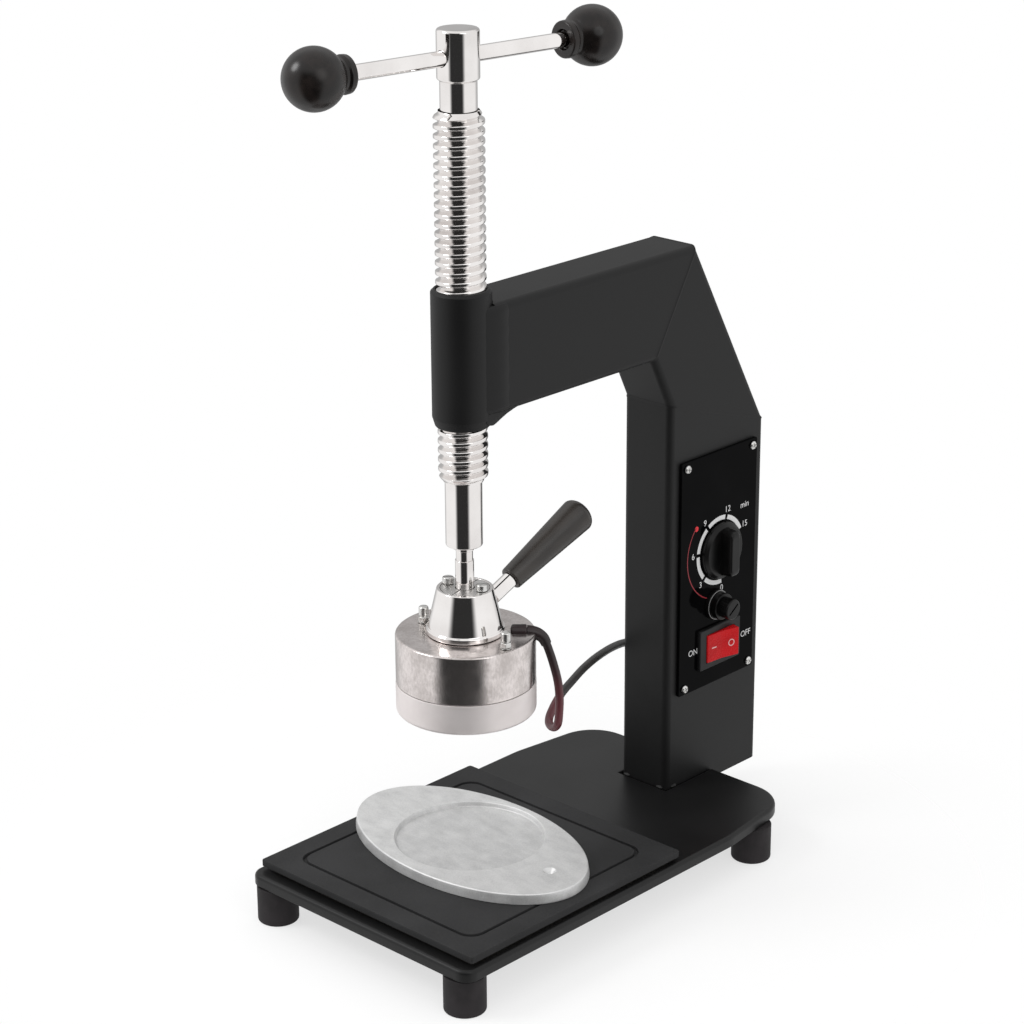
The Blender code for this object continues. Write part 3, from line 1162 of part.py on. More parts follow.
def add_form_plate(machine, looks):
    """Loose cast oval plate with a round recess, a dimple and its drafted side."""
    low = WORK_TOP + GAP
    high = low + FORM_THICKNESS

    def oval(inset, z):
        step = 2 * math.pi / FORM_SIDES
        return [((FORM_LENGTH / 2 - inset) * math.cos(i * step),
                 (FORM_WIDTH / 2 - inset) * math.sin(i * step), z) for i in range(FORM_SIDES)]

    shape = skin([oval(0, low), oval(FORM_DRAFT, high - FORM_EDGE),
                  oval(FORM_DRAFT + FORM_EDGE, high)])
    place = make_empty("form_frame", machine, (FORM_X, FORM_Y, 0), (0, 0, FORM_TURN))
    form = make_object("form_plate", shape, looks["cast"], place)
    recess = turned(((FORM_RECESS_RADIUS - FORM_RECESS_DEPTH, high - FORM_RECESS_DEPTH),
                     (FORM_RECESS_RADIUS + CUT_OVERRUN, high + CUT_OVERRUN)), FINE_SIDES)
    cut(form, "cut_form_recess", recess, place,
        (-FORM_RECESS_SHIFT, FORM_RECESS_SIDE_SHIFT, 0))
    dimple = turned(((FORM_DIMPLE_RADIUS / 3, high - FORM_DIMPLE_DEPTH),
                     (FORM_DIMPLE_RADIUS, high), (FORM_DIMPLE_RADIUS, high + CUT_OVERRUN)),
                    SMALL_SIDES)
    cut(form, "cut_form_dimple", dimple, place, (FORM_DIMPLE_REACH, FORM_DIMPLE_SIDE_REACH, 0))


def make_looks():
    return {
        "paint": paint("satin black paint", (0.028, 0.028, 0.029), 0.42),
        "matt": paint("matt black plate", (0.060, 0.060, 0.061), 0.75),
        "rubber": paint("black rubber", (0.035, 0.029, 0.032), 0.80),
        "zinc": paint("zinc plated steel", (0.62, 0.62, 0.64), 0.32, 1.0),
        "steel": paint("bare steel", (0.50, 0.50, 0.51), 0.38, 1.0),
        "bronze": paint("bronze", (0.55, 0.36, 0.15), 0.40, 1.0),
        "chrome": paint("chrome plate", (0.78, 0.77, 0.76), 0.12, 1.0),
        "aluminium": paint("turned aluminium", (0.74, 0.73, 0.72), 0.34, 1.0),
        "cast": paint("cast aluminium", (0.60, 0.60, 0.60), 0.55, 0.7),
        "bakelite": paint("dark bakelite", (0.018, 0.014, 0.013), 0.22),
        "plastic": paint("black plastic", (0.016, 0.016, 0.017), 0.45),
        "gloss": paint("gloss black panel", (0.006, 0.006, 0.006), 0.10),
        "red": paint("red switch plastic", (0.56, 0.020, 0.028), 0.30),
        "fibre": paint("heat board", (0.42, 0.38, 0.31), 0.90),
        "mica": paint("mica element", (0.50, 0.42, 0.28), 0.60),
        "glass": paint("fuse glass", (0.80, 0.84, 0.84), 0.08),
        "cable": paint("dark cable sheath", (0.050, 0.024, 0.022), 0.45),
    }


def main():
    remove_everything()
    looks = make_looks()
    machine = make_empty("machine", None, (MACHINE_X, MACHINE_Y, 0))
    base = add_base(machine, looks)
    add_feet(machine, base, looks)
    add_work_plate(machine, base, looks)
    column = add_frame(machine, looks)
    add_boss(machine, looks)
    add_press_screw(machine, looks)
    add_tommy_bar(machine, looks)
    handle_frame = handle_frame_of(machine)
    add_cone(machine, handle_frame, looks)
    shell = add_heating_head(machine, looks)
    add_handle(handle_frame, looks)
    add_grommet(machine, shell, looks)
    add_glands(machine, column, looks)
    add_terminal_block(machine, looks)
    frame, panel = add_panel(machine, column, looks)
    add_timer(frame, panel, looks)
    add_fuse(frame, panel, looks)
    add_switch(frame, panel, looks)
    add_form_plate(machine, looks)
    add_lead(machine, looks)


main()
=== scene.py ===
# %% [markdown]
# # Finishes for a bench tyre vulcanizer
# The machine presses a heated head onto a patched tyre. Its solids are already made and packed;
# this lesson dresses them: finer meshes where light shows an edge, and a procedural finish for
# every surface. All sizes are metres, and the press screw's axis is where we measure from.

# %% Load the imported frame
import math

import bmesh
import bpy
from mathutils import Matrix, Vector
from mathutils.geometry import interpolate_bezier


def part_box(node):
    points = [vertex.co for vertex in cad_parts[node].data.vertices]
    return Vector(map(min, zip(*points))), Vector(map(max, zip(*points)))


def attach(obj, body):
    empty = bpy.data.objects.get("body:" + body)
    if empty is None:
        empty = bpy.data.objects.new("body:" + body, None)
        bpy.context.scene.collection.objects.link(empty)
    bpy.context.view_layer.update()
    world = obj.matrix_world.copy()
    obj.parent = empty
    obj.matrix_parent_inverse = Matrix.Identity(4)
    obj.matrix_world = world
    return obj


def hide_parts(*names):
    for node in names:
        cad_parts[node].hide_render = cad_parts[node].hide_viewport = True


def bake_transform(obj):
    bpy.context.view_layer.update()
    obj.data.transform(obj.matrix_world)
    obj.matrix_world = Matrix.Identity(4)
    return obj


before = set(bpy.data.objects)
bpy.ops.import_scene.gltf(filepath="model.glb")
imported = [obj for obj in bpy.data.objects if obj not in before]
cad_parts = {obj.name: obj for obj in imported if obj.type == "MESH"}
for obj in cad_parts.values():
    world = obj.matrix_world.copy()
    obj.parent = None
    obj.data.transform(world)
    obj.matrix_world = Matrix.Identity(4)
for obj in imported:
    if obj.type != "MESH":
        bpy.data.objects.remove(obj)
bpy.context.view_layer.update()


def middle(node):
    low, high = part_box(node)
    return (low + high) / 2


AXIS = Vector((*middle("screw_boss").xy, 0))
print("solids", len(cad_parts), "axis", [round(v, 5) for v in AXIS])

# %% [markdown]
# ## Camera
# A long lens keeps the column's edges nearly parallel. The place, the angles and the lens were
# solved once from points whose sizes are known, so every piece falls where it should. Turning
# a camera about Z, then X, then its own Z is easier to read than three mixed Euler angles.

# %% Camera
CAMERA_FROM_AXIS = Vector((1.160865, -1.173537, 0.888452))
CAMERA_YAW = math.radians(43.6425)
CAMERA_PITCH = math.radians(-20.1921)
CAMERA_ROLL = math.radians(-0.3801)
CAMERA_LENS = 98.58

camera = bpy.data.objects.new("camera", bpy.data.cameras.new("camera"))
bpy.context.scene.collection.objects.link(camera)
bpy.context.scene.camera = camera
camera.data.lens = CAMERA_LENS
camera.matrix_world = (Matrix.Translation(AXIS + CAMERA_FROM_AXIS)
                       @ Matrix.Rotation(CAMERA_YAW, 4, 'Z')
                       @ Matrix.Rotation(math.pi / 2 + CAMERA_PITCH, 4, 'X')
                       @ Matrix.Rotation(CAMERA_ROLL, 4, 'Z'))
print("camera", [round(v, 4) for v in camera.matrix_world.translation])

# %% [markdown]
# ## Writing shader maths as Python
# A node tree is easier to read as an expression. This class holds one output socket; adding or
# multiplying it makes a Math node, and `node` makes any other kind: first its settings, then
# the values or links of its sockets. Colours never pass through Math nodes, which turn them
# grey; they go through a Mix node, which `shade` wraps.

# %% A wire that does arithmetic
class Wire:
    def __init__(self, tree, socket=None):
        self.tree = tree
        self.socket = socket

    def node(self, kind, settings=None, inputs=None, output=0):
        made = self.tree.nodes.new("ShaderNode" + kind)
        for name, value in (settings or {}).items():
            setattr(made, name, value)
        for name, value in (inputs or {}).items():
            if isinstance(value, Wire):
                self.tree.links.new(value.socket, made.inputs[name])
            else:
                made.inputs[name].default_value = value
        return Wire(self.tree, made.outputs[output])

    def outputs(self, kind, names, inputs=None):
        """Several output sockets of one new node."""
        made = self.node(kind, inputs=inputs).socket.node
        return [Wire(self.tree, made.outputs[name]) for name in names]

    def step(self, low, high):
        """0 below low, 1 above high, smooth between them."""
        return self.node("MapRange", {"interpolation_type": 'SMOOTHSTEP'},
                         {"Value": self, "From Min": low, "From Max": high})

    def shade(self, dark, light):
        """This value as a colour between two others."""
        return self.node("Mix", {"data_type": 'RGBA'},
                         {0: self, 6: (*dark, 1), 7: (*light, 1)}, output=2)


def maths(operation, swapped=False):
    def method(self, other):
        first, second = (other, self) if swapped else (self, other)
        return self.node("Math", {"operation": operation}, {0: first, 1: second})
    return method


Wire.__add__ = Wire.__radd__ = maths("ADD")
Wire.__sub__ = maths("SUBTRACT")
Wire.__rsub__ = maths("SUBTRACT", swapped=True)
Wire.__mul__ = Wire.__rmul__ = maths("MULTIPLY")
Wire.__truediv__ = maths("DIVIDE")
Wire.__pow__ = maths("POWER")
print("a wire knows + - * / **")

# %% [markdown]
# ## What every finish is made of
# Real surfaces vary at two sizes: a fine grain that breaks up highlights, and broad patches
# where hands, dust or the process changed them. Noise gives both. The texture reads each
# piece's own coordinates, so it stays glued to the piece when a joint moves.

# %% Noise, turning marks and bump
def own_place(start):
    return start.node("TexCoord", output="Object")


def own_axes(start):
    return start.outputs("SeparateXYZ", range(3), {0: own_place(start)})


def noise(start, scale, detail=2, stretch=None):
    place = own_place(start)
    if stretch:
        place = start.node("Mapping", inputs={"Vector": place, "Scale": stretch})
    return start.node("TexNoise", inputs={"Vector": place, "Scale": scale, "Detail": detail})


def turning_marks(start, scale):
    """Fine rings round the piece's own Z, on its faces and on its sides."""
    x, y, z = own_axes(start)
    return start.node("TexNoise", {"noise_dimensions": '1D'},
                      {"W": (x * x + y * y) ** 0.5 + z, "Scale": scale, "Detail": 3})


def bump(height, depth, strength):
    return height.node("Bump", inputs={"Height": height, "Distance": depth,
                                       "Strength": strength})


print("noise, turning marks and bump are ready")

# %% [markdown]
# Most finishes differ only in numbers, so one recipe serves them. It takes the colour's noise
# and edges and two colours, then how rough: a level, a spread and a noise of its own, then how
# deep: a depth, a strength and a noise. A noise is a scale, a detail and perhaps a stretch; one
# that is left out is the colour's noise.

# %% One recipe for most finishes
FINISHES = {}


def make_finish(slot, recipe, **uniform):
    """A Principled material: one value a socket, then what the recipe varies."""
    made = bpy.data.materials.new(slot)
    made.use_nodes = True
    sockets = made.node_tree.nodes["Principled BSDF"].inputs
    for name, value in uniform.items():
        sockets[name.replace("_", " ")].default_value = value
    for name, value in recipe(Wire(made.node_tree)).items():
        made.node_tree.links.new(value.socket, sockets[name])
    FINISHES[slot] = made


def grained(tone, edges, dark, light, rough=None, relief=None, clip=None, marks=None):
    """Turning marks, where given, stand in for the noise of rough and relief."""
    def recipe(start):
        def grain(own_noise):
            return turning_marks(start, marks) if marks else noise(start, *(own_noise or tone))

        varied = {"Base Color": noise(start, *tone).step(*edges).shade(dark, light)}
        if rough:
            level, spread, *own_noise = rough
            worn = grain(own_noise)
            varied["Roughness"] = level + (worn.step(*clip) if clip else worn) * spread
        if relief:
            depth, strength, *own_noise = relief
            varied["Normal"] = bump(grain(own_noise), depth, strength)
        return varied
    return recipe


print("recipes can vary colour, roughness and relief")

# %% [markdown]
# ## Painted, moulded and cast finishes
# The frame is powder coated: satin, with a faint orange peel about a millimetre wide. The work
# plate is blasted before coating, so it is matt and speckled. Rubber and plastic get a grain
# from their moulds; cast metal keeps the mottled skin of the mould it cooled in.

# %% Paint, rubber and plastic
COAT = ((16, 4), (0.3, 0.75), (0.0052, 0.0052, 0.0054), (0.0082, 0.0082, 0.0084))
PEEL = (0.0001, 0.35, 800)
# Slot, specular level, recipe
MOULDED = (
    ("black_paint", 0.27, (*COAT, (0.46, 0.14), PEEL)),
    ("base_paint", 0.27, (*COAT, (0.31, 0.14, 20, 4), PEEL)),
    ("black_rubber", 0.35, (
        (60, 3), (0.35, 0.7), (0.013, 0.011, 0.012), (0.026, 0.022, 0.024),
        (0.62, 0.2, 3000, 3), (0.00006, 0.5, 3000, 3))),
    ("bakelite", 0.36, (
        (120, 4), (0.35, 0.7), (0.006, 0.0046, 0.0042), (0.015, 0.0108, 0.0095),
        (0.2, 0.14, 30, 5), (0.0003, 0.08, 30, 5), (0.35, 0.8))),
    ("knob_bakelite", 0.22, (
        (60, 4), (0.3, 0.7), (0.002, 0.002, 0.002), (0.0048, 0.0046, 0.0046),
        (0.24, 0.12), (0.00004, 0.3, 900))),
    ("grip_bakelite", 0.5, (
        (160, 4, (1, 1, 0.25)), (0.3, 0.7), (0.017, 0.014, 0.012), (0.034, 0.0285, 0.0245),
        (0.27, 0.12), (0.00006, 0.35, 1400, 3, (1, 1, 0.05)))),
    ("black_plastic", 0.22, (
        (70, 3), (0.3, 0.7), (0.006, 0.006, 0.0065), (0.012, 0.012, 0.0125),
        (0.34, 0.14, 2400), (0.00004, 0.4, 2400))),
    ("gloss_panel", 0.022, (
        (26, 5, (1, 1, 0.4)), (0.4, 0.8), (0.0022, 0.0022, 0.0024), (0.0042, 0.0042, 0.0045),
        (0.06, 0.14), (0.0002, 0.05, 40), (0.45, 0.8))),
    ("red_plastic", 0.16, (
        (90,), (0.25, 0.75), (0.5, 0.004, 0.007), (0.64, 0.007, 0.011),
        (0.22, 0.1, 900), (0.0003, 0.1))),
)


def blasted_plate(start):
    grit = noise(start, 2600)
    patches = noise(start, 22, 5)
    return {"Base Color": (grit * 0.5 + patches * 0.5).step(0.3, 0.7).shade(
                (0.013, 0.013, 0.0135), (0.033, 0.033, 0.034)),
            "Roughness": 0.62 + patches * 0.16,
            "Normal": bump(grit, 0.00012, 0.6)}


for slot, shine, recipe in MOULDED:
    make_finish(slot, grained(*recipe), Specular_IOR_Level=shine)
make_finish("matt_plate", blasted_plate, Specular_IOR_Level=0.27)
print("finishes", len(FINISHES))

# %% [markdown]
# ## Metal finishes
# Chrome copies its surroundings, so it only needs faint polishing waves and a little haze.
# Turned aluminium carries the tool's rings, which stretch a highlight into a band. The cast
# plate is the opposite: dull, grainy and cloudy. Zinc and bare steel lie between them.

# %% Metals
# Slot, how metallic, recipe
METALS = (
    ("chrome", 1, (
        (34, 5), (0.3, 0.8), (0.87, 0.845, 0.83), (0.73, 0.7, 0.685),
        (0.05, 0.14), (0.0004, 0.05, 90), (0.45, 0.85))),
    ("turned_aluminium", 0.8, (
        (30, 4), (0.3, 0.75), (0.86, 0.81, 0.8), (0.74, 0.69, 0.68),
        (0.5, 0.14), (0.00005, 0.5), None, 2600)),
    ("zinc_steel", 1, (
        (500, 3), (0.3, 0.7), (0.56, 0.55, 0.53), (0.74, 0.74, 0.73),
        (0.22, 0.16), (0.00008, 0.2))),
    ("bare_steel", 1, (
        (80, 4), (0.3, 0.7), (0.5, 0.49, 0.48), (0.63, 0.62, 0.61),
        (0.24, 0.18), (0.00004, 0.4), None, 3600)),
    ("bronze", 1, (
        (220, 4), (0.3, 0.7), (0.42, 0.25, 0.1), (0.6, 0.4, 0.18), (0.28, 0.2),
        (0.0001, 0.3))),
)


def satin_chrome(start):
    haze = noise(start, 70, 6)
    speck = noise(start, 700, 4, (1, 1, 0.5))
    return {"Base Color": (haze * 0.65 + speck * 0.35).step(0.34, 0.66).shade(
                (0.76, 0.705, 0.69), (0.51, 0.468, 0.452)),
            "Roughness": 0.15 + haze.step(0.35, 0.7) * 0.09 + speck * 0.05,
            "Normal": bump(speck, 0.00006, 0.35)}


def cast_skin(start):
    """Paler on the rim, between these two heights, than in the recess, whose darker floor is
    painted shade.
    """
    rim_above_painted_shade = own_axes(start)[2].step(0.0452, 0.0476)
    grain = noise(start, 1300, 3)
    cloud = noise(start, 95, 5)
    streak = noise(start, 170, 4, (0.35, 1, 1))
    pits = noise(start, 420, 3).step(0.64, 0.74)
    # The rim's share of the tone lifts the rim and leaves painted shade in the recess.
    tone = cloud * 0.35 + streak * 0.3 + grain * 0.35 + rim_above_painted_shade * 0.1
    return {"Base Color": tone.step(0.24, 0.8).shade((0.53, 0.53, 0.53), (0.79, 0.79, 0.785)),
            "Roughness": 0.42 + cloud * 0.2,
            "Metallic": 0.72 - pits * 0.3,
            "Normal": bump(grain * 0.5 + cloud * 0.7 - pits * 0.4, 0.00025, 0.5)}


for slot, metallic, recipe in METALS:
    make_finish(slot, grained(*recipe), Metallic=metallic)
make_finish("satin_chrome", satin_chrome, Metallic=1)
make_finish("cast_aluminium", cast_skin)
print("finishes", len(FINISHES))

# %% [markdown]
# ## Boards, glass, cable and print
# The head is insulated with pressed fibre board over a mica heater, and the lead has a woven
# heat sleeve near the hot end. Panel marks are screen printed: slightly rough ink with a
# ragged coverage that shows only up close.

# %% Boards, glass, cable and print
BOARDS = {
    "heat_board": ((500, 4, (1, 0.35, 1)), (0.3, 0.7), (0.3, 0.27, 0.21), (0.5, 0.46, 0.38),
                   (0.8, 0.15), (0.0002, 0.5)),
    "mica": ((260, 5), (0.3, 0.7), (0.36, 0.29, 0.17), (0.6, 0.51, 0.35), (0.35, 0.4),
             (0.0001, 0.4)),
    "boot_rubber": ((60,), (0.3, 0.7), (0.01, 0.005, 0.0055), (0.022, 0.0095, 0.011),
                    (0.3, 0.16, 2200), (0.00006, 0.4, 2200)),
    "cable_sheath": ((50, 3), (0.3, 0.7), (0.016, 0.015, 0.0145), (0.036, 0.033, 0.031),
                     (0.38, 0.16, 1800), (0.00006, 0.4, 1800)),
}
INKS_AND_PAINTED_HIGHLIGHT = {"white_ink": ((0.6, 0.6, 0.6), (0.84, 0.84, 0.84)),
        # The grey below is a painted highlight for the fuse holder's flange edge; the others
        # are print.
        "painted_highlight_grey": ((0.26, 0.26, 0.26), (0.42, 0.42, 0.42)),
        "red_ink": ((0.16, 0.012, 0.018), (0.3, 0.02, 0.03)),
        "bright_red_ink": ((0.6, 0.02, 0.03), (0.8, 0.03, 0.04)),
        "pink_ink": ((0.62, 0.34, 0.34), (0.8, 0.5, 0.5))}
CLEAR_GLASS = ((200,), (0.2, 0.8), (0.86, 0.9, 0.9), (0.95, 0.97, 0.97))


def heat_sleeve(start):
    """Nearly black near the top, wine red lower down where it hangs."""
    hanging = 1.0 - own_axes(start)[2].step(0.138, 0.19)
    weave = noise(start, 2200)
    return {"Base Color": (noise(start, 60, 3) * 0.35 + hanging * 0.75).step(0.1, 0.9).shade(
                (0.013, 0.0055, 0.0065), (0.105, 0.017, 0.024)),
            "Roughness": 0.28 + weave * 0.18,
            "Normal": bump(weave, 0.00008, 0.5)}


for slot, recipe in BOARDS.items():
    make_finish(slot, grained(*recipe))
for slot, (dark, light) in INKS_AND_PAINTED_HIGHLIGHT.items():
    make_finish(slot, grained((1600, 3), (0.2, 0.6), dark, light, (0.42, 0.2)))
make_finish("fuse_glass", grained(*CLEAR_GLASS), Roughness=0.04, Transmission_Weight=0.85,
            IOR=1.5)
make_finish("heat_sleeve", heat_sleeve)
print("finishes", len(FINISHES))

# %% [markdown]
# ## Building blocks for the rigid pieces
# Most parts here come from a lathe, a press or a saw, so three builders are enough: a profile
# turned about Z, rings of equal count joined with quads, and a flat outline given thickness.
# A corner is written as (x, z, radius), which keeps the small edge rounds beside the size
# they belong to. Those rounds catch the light; a mathematically sharp edge never does.

# %% Profiles and the lathe
LATHE_SIDES = 96


def rounded(profile, steps=4):
    """Points of a line; a third number rounds that corner to its radius."""
    made = []
    for i, (x, z, *corner) in enumerate(profile):
        if not corner:
            made.append((x, z))
            continue
        here = Vector((x, z, 0))
        before, after = (Vector((*profile[j % len(profile)][:2], 0)) - here
                         for j in (i - 1, i + 1))
        half = before.angle(after) / 2
        reach = corner[0] / math.tan(half)
        hold = reach - corner[0] * 4 / 3 * math.tan((math.pi / 2 - half) / 2)
        ends = [here + side.normalized() * length for side, length in
                ((before, reach), (before, hold), (after, hold), (after, reach))]
        made += [tuple(point[:2]) for point in interpolate_bezier(*ends, steps + 1)]
    return made


def neighbours(items, closed):
    return list(zip(items, items[1:])) + ([(items[-1], items[0])] if closed else [])


def turned(profile, sides=LATHE_SIDES, closed=False, steps=4):
    shape = bmesh.new()
    line = [shape.verts.new((radius, 0, z)) for radius, z in rounded(profile, steps)]
    edges = [shape.edges.new(pair) for pair in neighbours(line, closed)]
    bmesh.ops.spin(shape, geom=line + edges, axis=(0, 0, 1), cent=(0, 0, 0), steps=sides,
                   angle=2 * math.pi, use_merge=True)
    bmesh.ops.remove_doubles(shape, verts=shape.verts[:], dist=1e-7)
    bmesh.ops.recalc_face_normals(shape, faces=shape.faces[:])
    return shape


print("lathe sides", LATHE_SIDES)

# %% [markdown]
# A loft joins rings of points into a skin. A plate is the simplest loft: one outline at two
# heights, with its rims rounded afterwards, as a file or a press would leave them.

# %% Lofts, outlines and plates
def loft(rings, closed=False):
    shape = bmesh.new()
    made = [[shape.verts.new(point) for point in ring] for ring in rings]
    for first, second in neighbours(made, closed):
        for i in range(len(first)):
            j = (i + 1) % len(first)
            shape.faces.new((first[i], first[j], second[j], second[i]))
    if not closed:
        shape.faces.new(made[0])
        shape.faces.new(made[-1])
    bmesh.ops.recalc_face_normals(shape, faces=shape.faces[:])
    return shape


def box_outline(width, depth, corner, steps=8):
    x, y = width / 2, depth / 2
    return rounded([(x, y, corner), (-x, y, corner), (-x, -y, corner), (x, -y, corner)], steps)


def arc(radius, start, end, steps):
    """Points on part of a circle, between two angles in degrees."""
    angles = (math.radians(start + (end - start) * i / steps) for i in range(steps + 1))
    return [(radius * math.cos(a), radius * math.sin(a)) for a in angles]


def level(outline, z):
    return [(x, y, z) for x, y in outline]


def plate(outline, low, high, top_edge=0.0, low_edge=0.0, steps=3):
    """An outline given thickness, with its rims rounded."""
    shape = loft([level(outline, low), level(outline, high)])
    for z, width in ((high, top_edge), (low, low_edge)):
        if width:
            rim_above_painted_shade = [edge for edge in shape.edges
                   if all(abs(vert.co.z - z) < 1e-6 for vert in edge.verts)]
            bmesh.ops.bevel(shape, geom=rim_above_painted_shade, offset=width, segments=steps, profile=0.5,
                            affect='EDGES')
    return shape


print("a box outline has", len(box_outline(1, 1, 0.1)), "points")

# %% [markdown]
# A piece is put in place once, then handed to the body that carries it. Weighted normals keep
# the large flats flat beside their small rounds. Slots and recesses are cut with an exact
# Boolean at once, so that the finished mesh is all that is left.

# %% Place a piece, cut a piece
SHARP_ANGLE = math.radians(40)


def lift(x=0.0, y=0.0, z=0.0):
    return Matrix.Translation((x, y, z))


def turn(degrees, axis):
    return Matrix.Rotation(math.radians(degrees), 4, axis)


def moved(shape, place):
    shape.transform(place)
    return shape


def loose_object(name, shape, slot):
    mesh = bpy.data.meshes.new(name)
    shape.to_mesh(mesh)
    shape.free()
    mesh.materials.append(FINISHES[slot])
    mesh.shade_smooth()
    mesh.set_sharp_from_angle(angle=SHARP_ANGLE)
    made = bpy.data.objects.new(name, mesh)
    bpy.context.scene.collection.objects.link(made)
    return made


def add_piece(name, shape, slot, body, nodes=(), place=None):
    made = loose_object(name, shape, slot)
    made.matrix_world = Matrix.Translation(AXIS) @ (place or Matrix())
    weighted = made.modifiers.new("flat faces", 'WEIGHTED_NORMAL')
    weighted.keep_sharp = True
    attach(made, body)
    if nodes:
        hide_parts(*nodes)
    return made


def carve(piece, *tools):
    """Take shapes, given in the piece's own space, out of it."""
    modifiers = list(piece.modifiers)
    for modifier in modifiers:
        modifier.show_viewport = False
    for shape in tools:
        tool = loose_object("tool", shape, "bare_steel")
        tool.matrix_world = piece.matrix_world
        cut = piece.modifiers.new("cut", 'BOOLEAN')
        cut.operation = 'DIFFERENCE'
        cut.solver = 'EXACT'
        cut.object = tool
        bpy.context.view_layer.update()
        result = piece.evaluated_get(bpy.context.evaluated_depsgraph_get())
        mesh = bpy.data.meshes.new_from_object(result)
        mesh.set_sharp_from_angle(angle=SHARP_ANGLE)
        piece.modifiers.remove(cut)
        piece.data = mesh
        bpy.data.objects.remove(tool)
    for modifier in modifiers:
        modifier.show_viewport = True


# %% [markdown]
# ## The heater lead
# A lead hangs by its own stiffness: it leaves the head straight, falls beside the shell, turns
# under and climbs to the gland in the column's far side. The same route points are in the
# solid, so both follow one curve. Equal spacing with a centripetal spline avoids loops at
# close points.

# %% The lead's route
LEAD_RADIUS = 0.00275
LEAD_STRAIGHT = 0.0015
LEAD_YAW = 43.6
LEAD_START_REACH = 0.0393
LEAD_START_HEIGHT = 0.2
LEAD_END = Vector((-0.03305, 0.218, 0.1138))
LEAD_ROUTE = (
    (0.0329, 0.0313, 0.199), (0.0357, 0.034, 0.1961), (0.0371, 0.0353, 0.1925),
    (0.0387, 0.0368, 0.1865), (0.0408, 0.0388, 0.1766), (0.0426, 0.0406, 0.1654),
    (0.0434, 0.0413, 0.154), (0.0432, 0.0411, 0.144), (0.0414, 0.0418, 0.1352),
    (0.0373, 0.0434, 0.1308), (0.0327, 0.0452, 0.1292), (0.028, 0.048, 0.1293),
    (0.0242, 0.0524, 0.1309), (0.0212, 0.0585, 0.1334), (0.0171, 0.0675, 0.1358),
    (0.012, 0.079, 0.137), (0.005, 0.0945, 0.1366), (-0.0061, 0.118, 0.135),
    (-0.0175, 0.1435, 0.1318), (-0.0294, 0.17, 0.1265), (-0.039, 0.19, 0.1208),
    (-0.0447, 0.203, 0.1168), (-0.0457, 0.2085, 0.1154), (-0.0436, 0.2136, 0.1145),
    (-0.0394, 0.217, 0.114),
)
LEAD_POINTS = 220
SPLINE_STEPS = 24


def smooth_route(points, count):
    dense = []
    for a, b, c, d in zip(points, points[1:], points[2:], points[3:]):
        before, span, after = (math.sqrt((q - p).length) for p, q in ((a, b), (b, c), (c, d)))
        leave = (b - a) / before - (c - a) / (before + span) + (c - b) / span
        arrive = (c - b) / span - (d - b) / (span + after) + (d - c) / after
        dense += interpolate_bezier(b, b + leave * span / 3, c - arrive * span / 3, c,
                                    SPLINE_STEPS)[:-1]
    dense.append(points[-2])
    reached = [0.0]
    for first, second in zip(dense, dense[1:]):
        reached.append(reached[-1] + (second - first).length)
    even, index = [], 0
    for i in range(count):
        target = reached[-1] * i / (count - 1)
        while index < len(dense) - 2 and reached[index + 1] < target:
            index += 1
        share = (target - reached[index]) / (reached[index + 1] - reached[index])
        even.append(dense[index].lerp(dense[index + 1], min(share, 1)))
    return [points[0], *even, points[-1]]


def line_length(points):
    return sum((q - p).length for p, q in zip(points, points[1:]))


lead_yaw = math.radians(LEAD_YAW)
lead_out = Vector((math.cos(lead_yaw), math.sin(lead_yaw), 0))
lead_start = lead_out * LEAD_START_REACH + Vector((0, 0, LEAD_START_HEIGHT))
route = smooth_route([lead_start, lead_start + lead_out * LEAD_STRAIGHT,
                      *(Vector(point) for point in LEAD_ROUTE),
                      LEAD_END - Vector((LEAD_STRAIGHT, 0, 0)), LEAD_END], LEAD_POINTS)
route = [point + AXIS for point in route]
print("lead length", round(line_length(route), 4))

# %% [markdown]
# Four tubes share the route, because the hot end turns with the head while the rest stays with
# the column: sleeve, hanging strand, loop, then the plain sheath. Each is listed with the body
# at either end and a run for handing over from one to the other, set so that the loop would lag
# behind a head that comes down; nothing here reads them, so the tubes are built where they
# hang.

# %% Cut the route for four tubes
SLEEVE_SHARE = 0.4
DROP_END = 0.169
LOOP_START = 0.137
LAG_SPAN = 0.125
LAP = 3
REAR_POINT = -6
RELIEF_POINTS = 13

relief_end = route[RELIEF_POINTS - 1]
bend_at, loop_at = (next(i for i, point in enumerate(route) if point.z < height)
                    for height in (DROP_END, LOOP_START))
cut_at = round(len(route) * SLEEVE_SHARE)
bend, low, cut, rear = (route[i] for i in (bend_at, loop_at, cut_at, REAR_POINT))
aside = Vector((cut.x - low.x, cut.y - low.y, 0)).normalized()
away = Vector((rear.x - cut.x, rear.y - cut.y, 0))
loop_from = low - aside * (bend.z - low.z)
reached = (cut - loop_from).dot(aside) / LAG_SPAN
sheath_from = cut - away * (reached / (1 - reached))
print("cuts at points", bend_at, loop_at, cut_at, "of", len(route))

# %% [markdown]
# A tube is a row of rings, each turned only as far as the line bends, so that it never twists.
# The rubber relief is one more tube, round the first part, and rides the head without bending.

# %% The lead's tubes and relief
RELIEF_RADIUS = (0.0045, 0.0034)


def tube(points, first_radius, last_radius, sides=24):
    """Rings carried along a line without twisting."""
    across = (points[1] - points[0]).orthogonal().normalized()
    rings = []
    for i, point in enumerate(points):
        ahead = (points[min(i + 1, len(points) - 1)] - points[max(i - 1, 0)]).normalized()
        across = (across - ahead * across.dot(ahead)).normalized()
        other = ahead.cross(across)
        radius = first_radius + (last_radius - first_radius) * (i / (len(points) - 1))
        rings.append([point + radius * (math.cos(a) * across + math.sin(a) * other)
                      for a in (2 * math.pi * side / sides for side in range(sides))])
    return loft(rings)


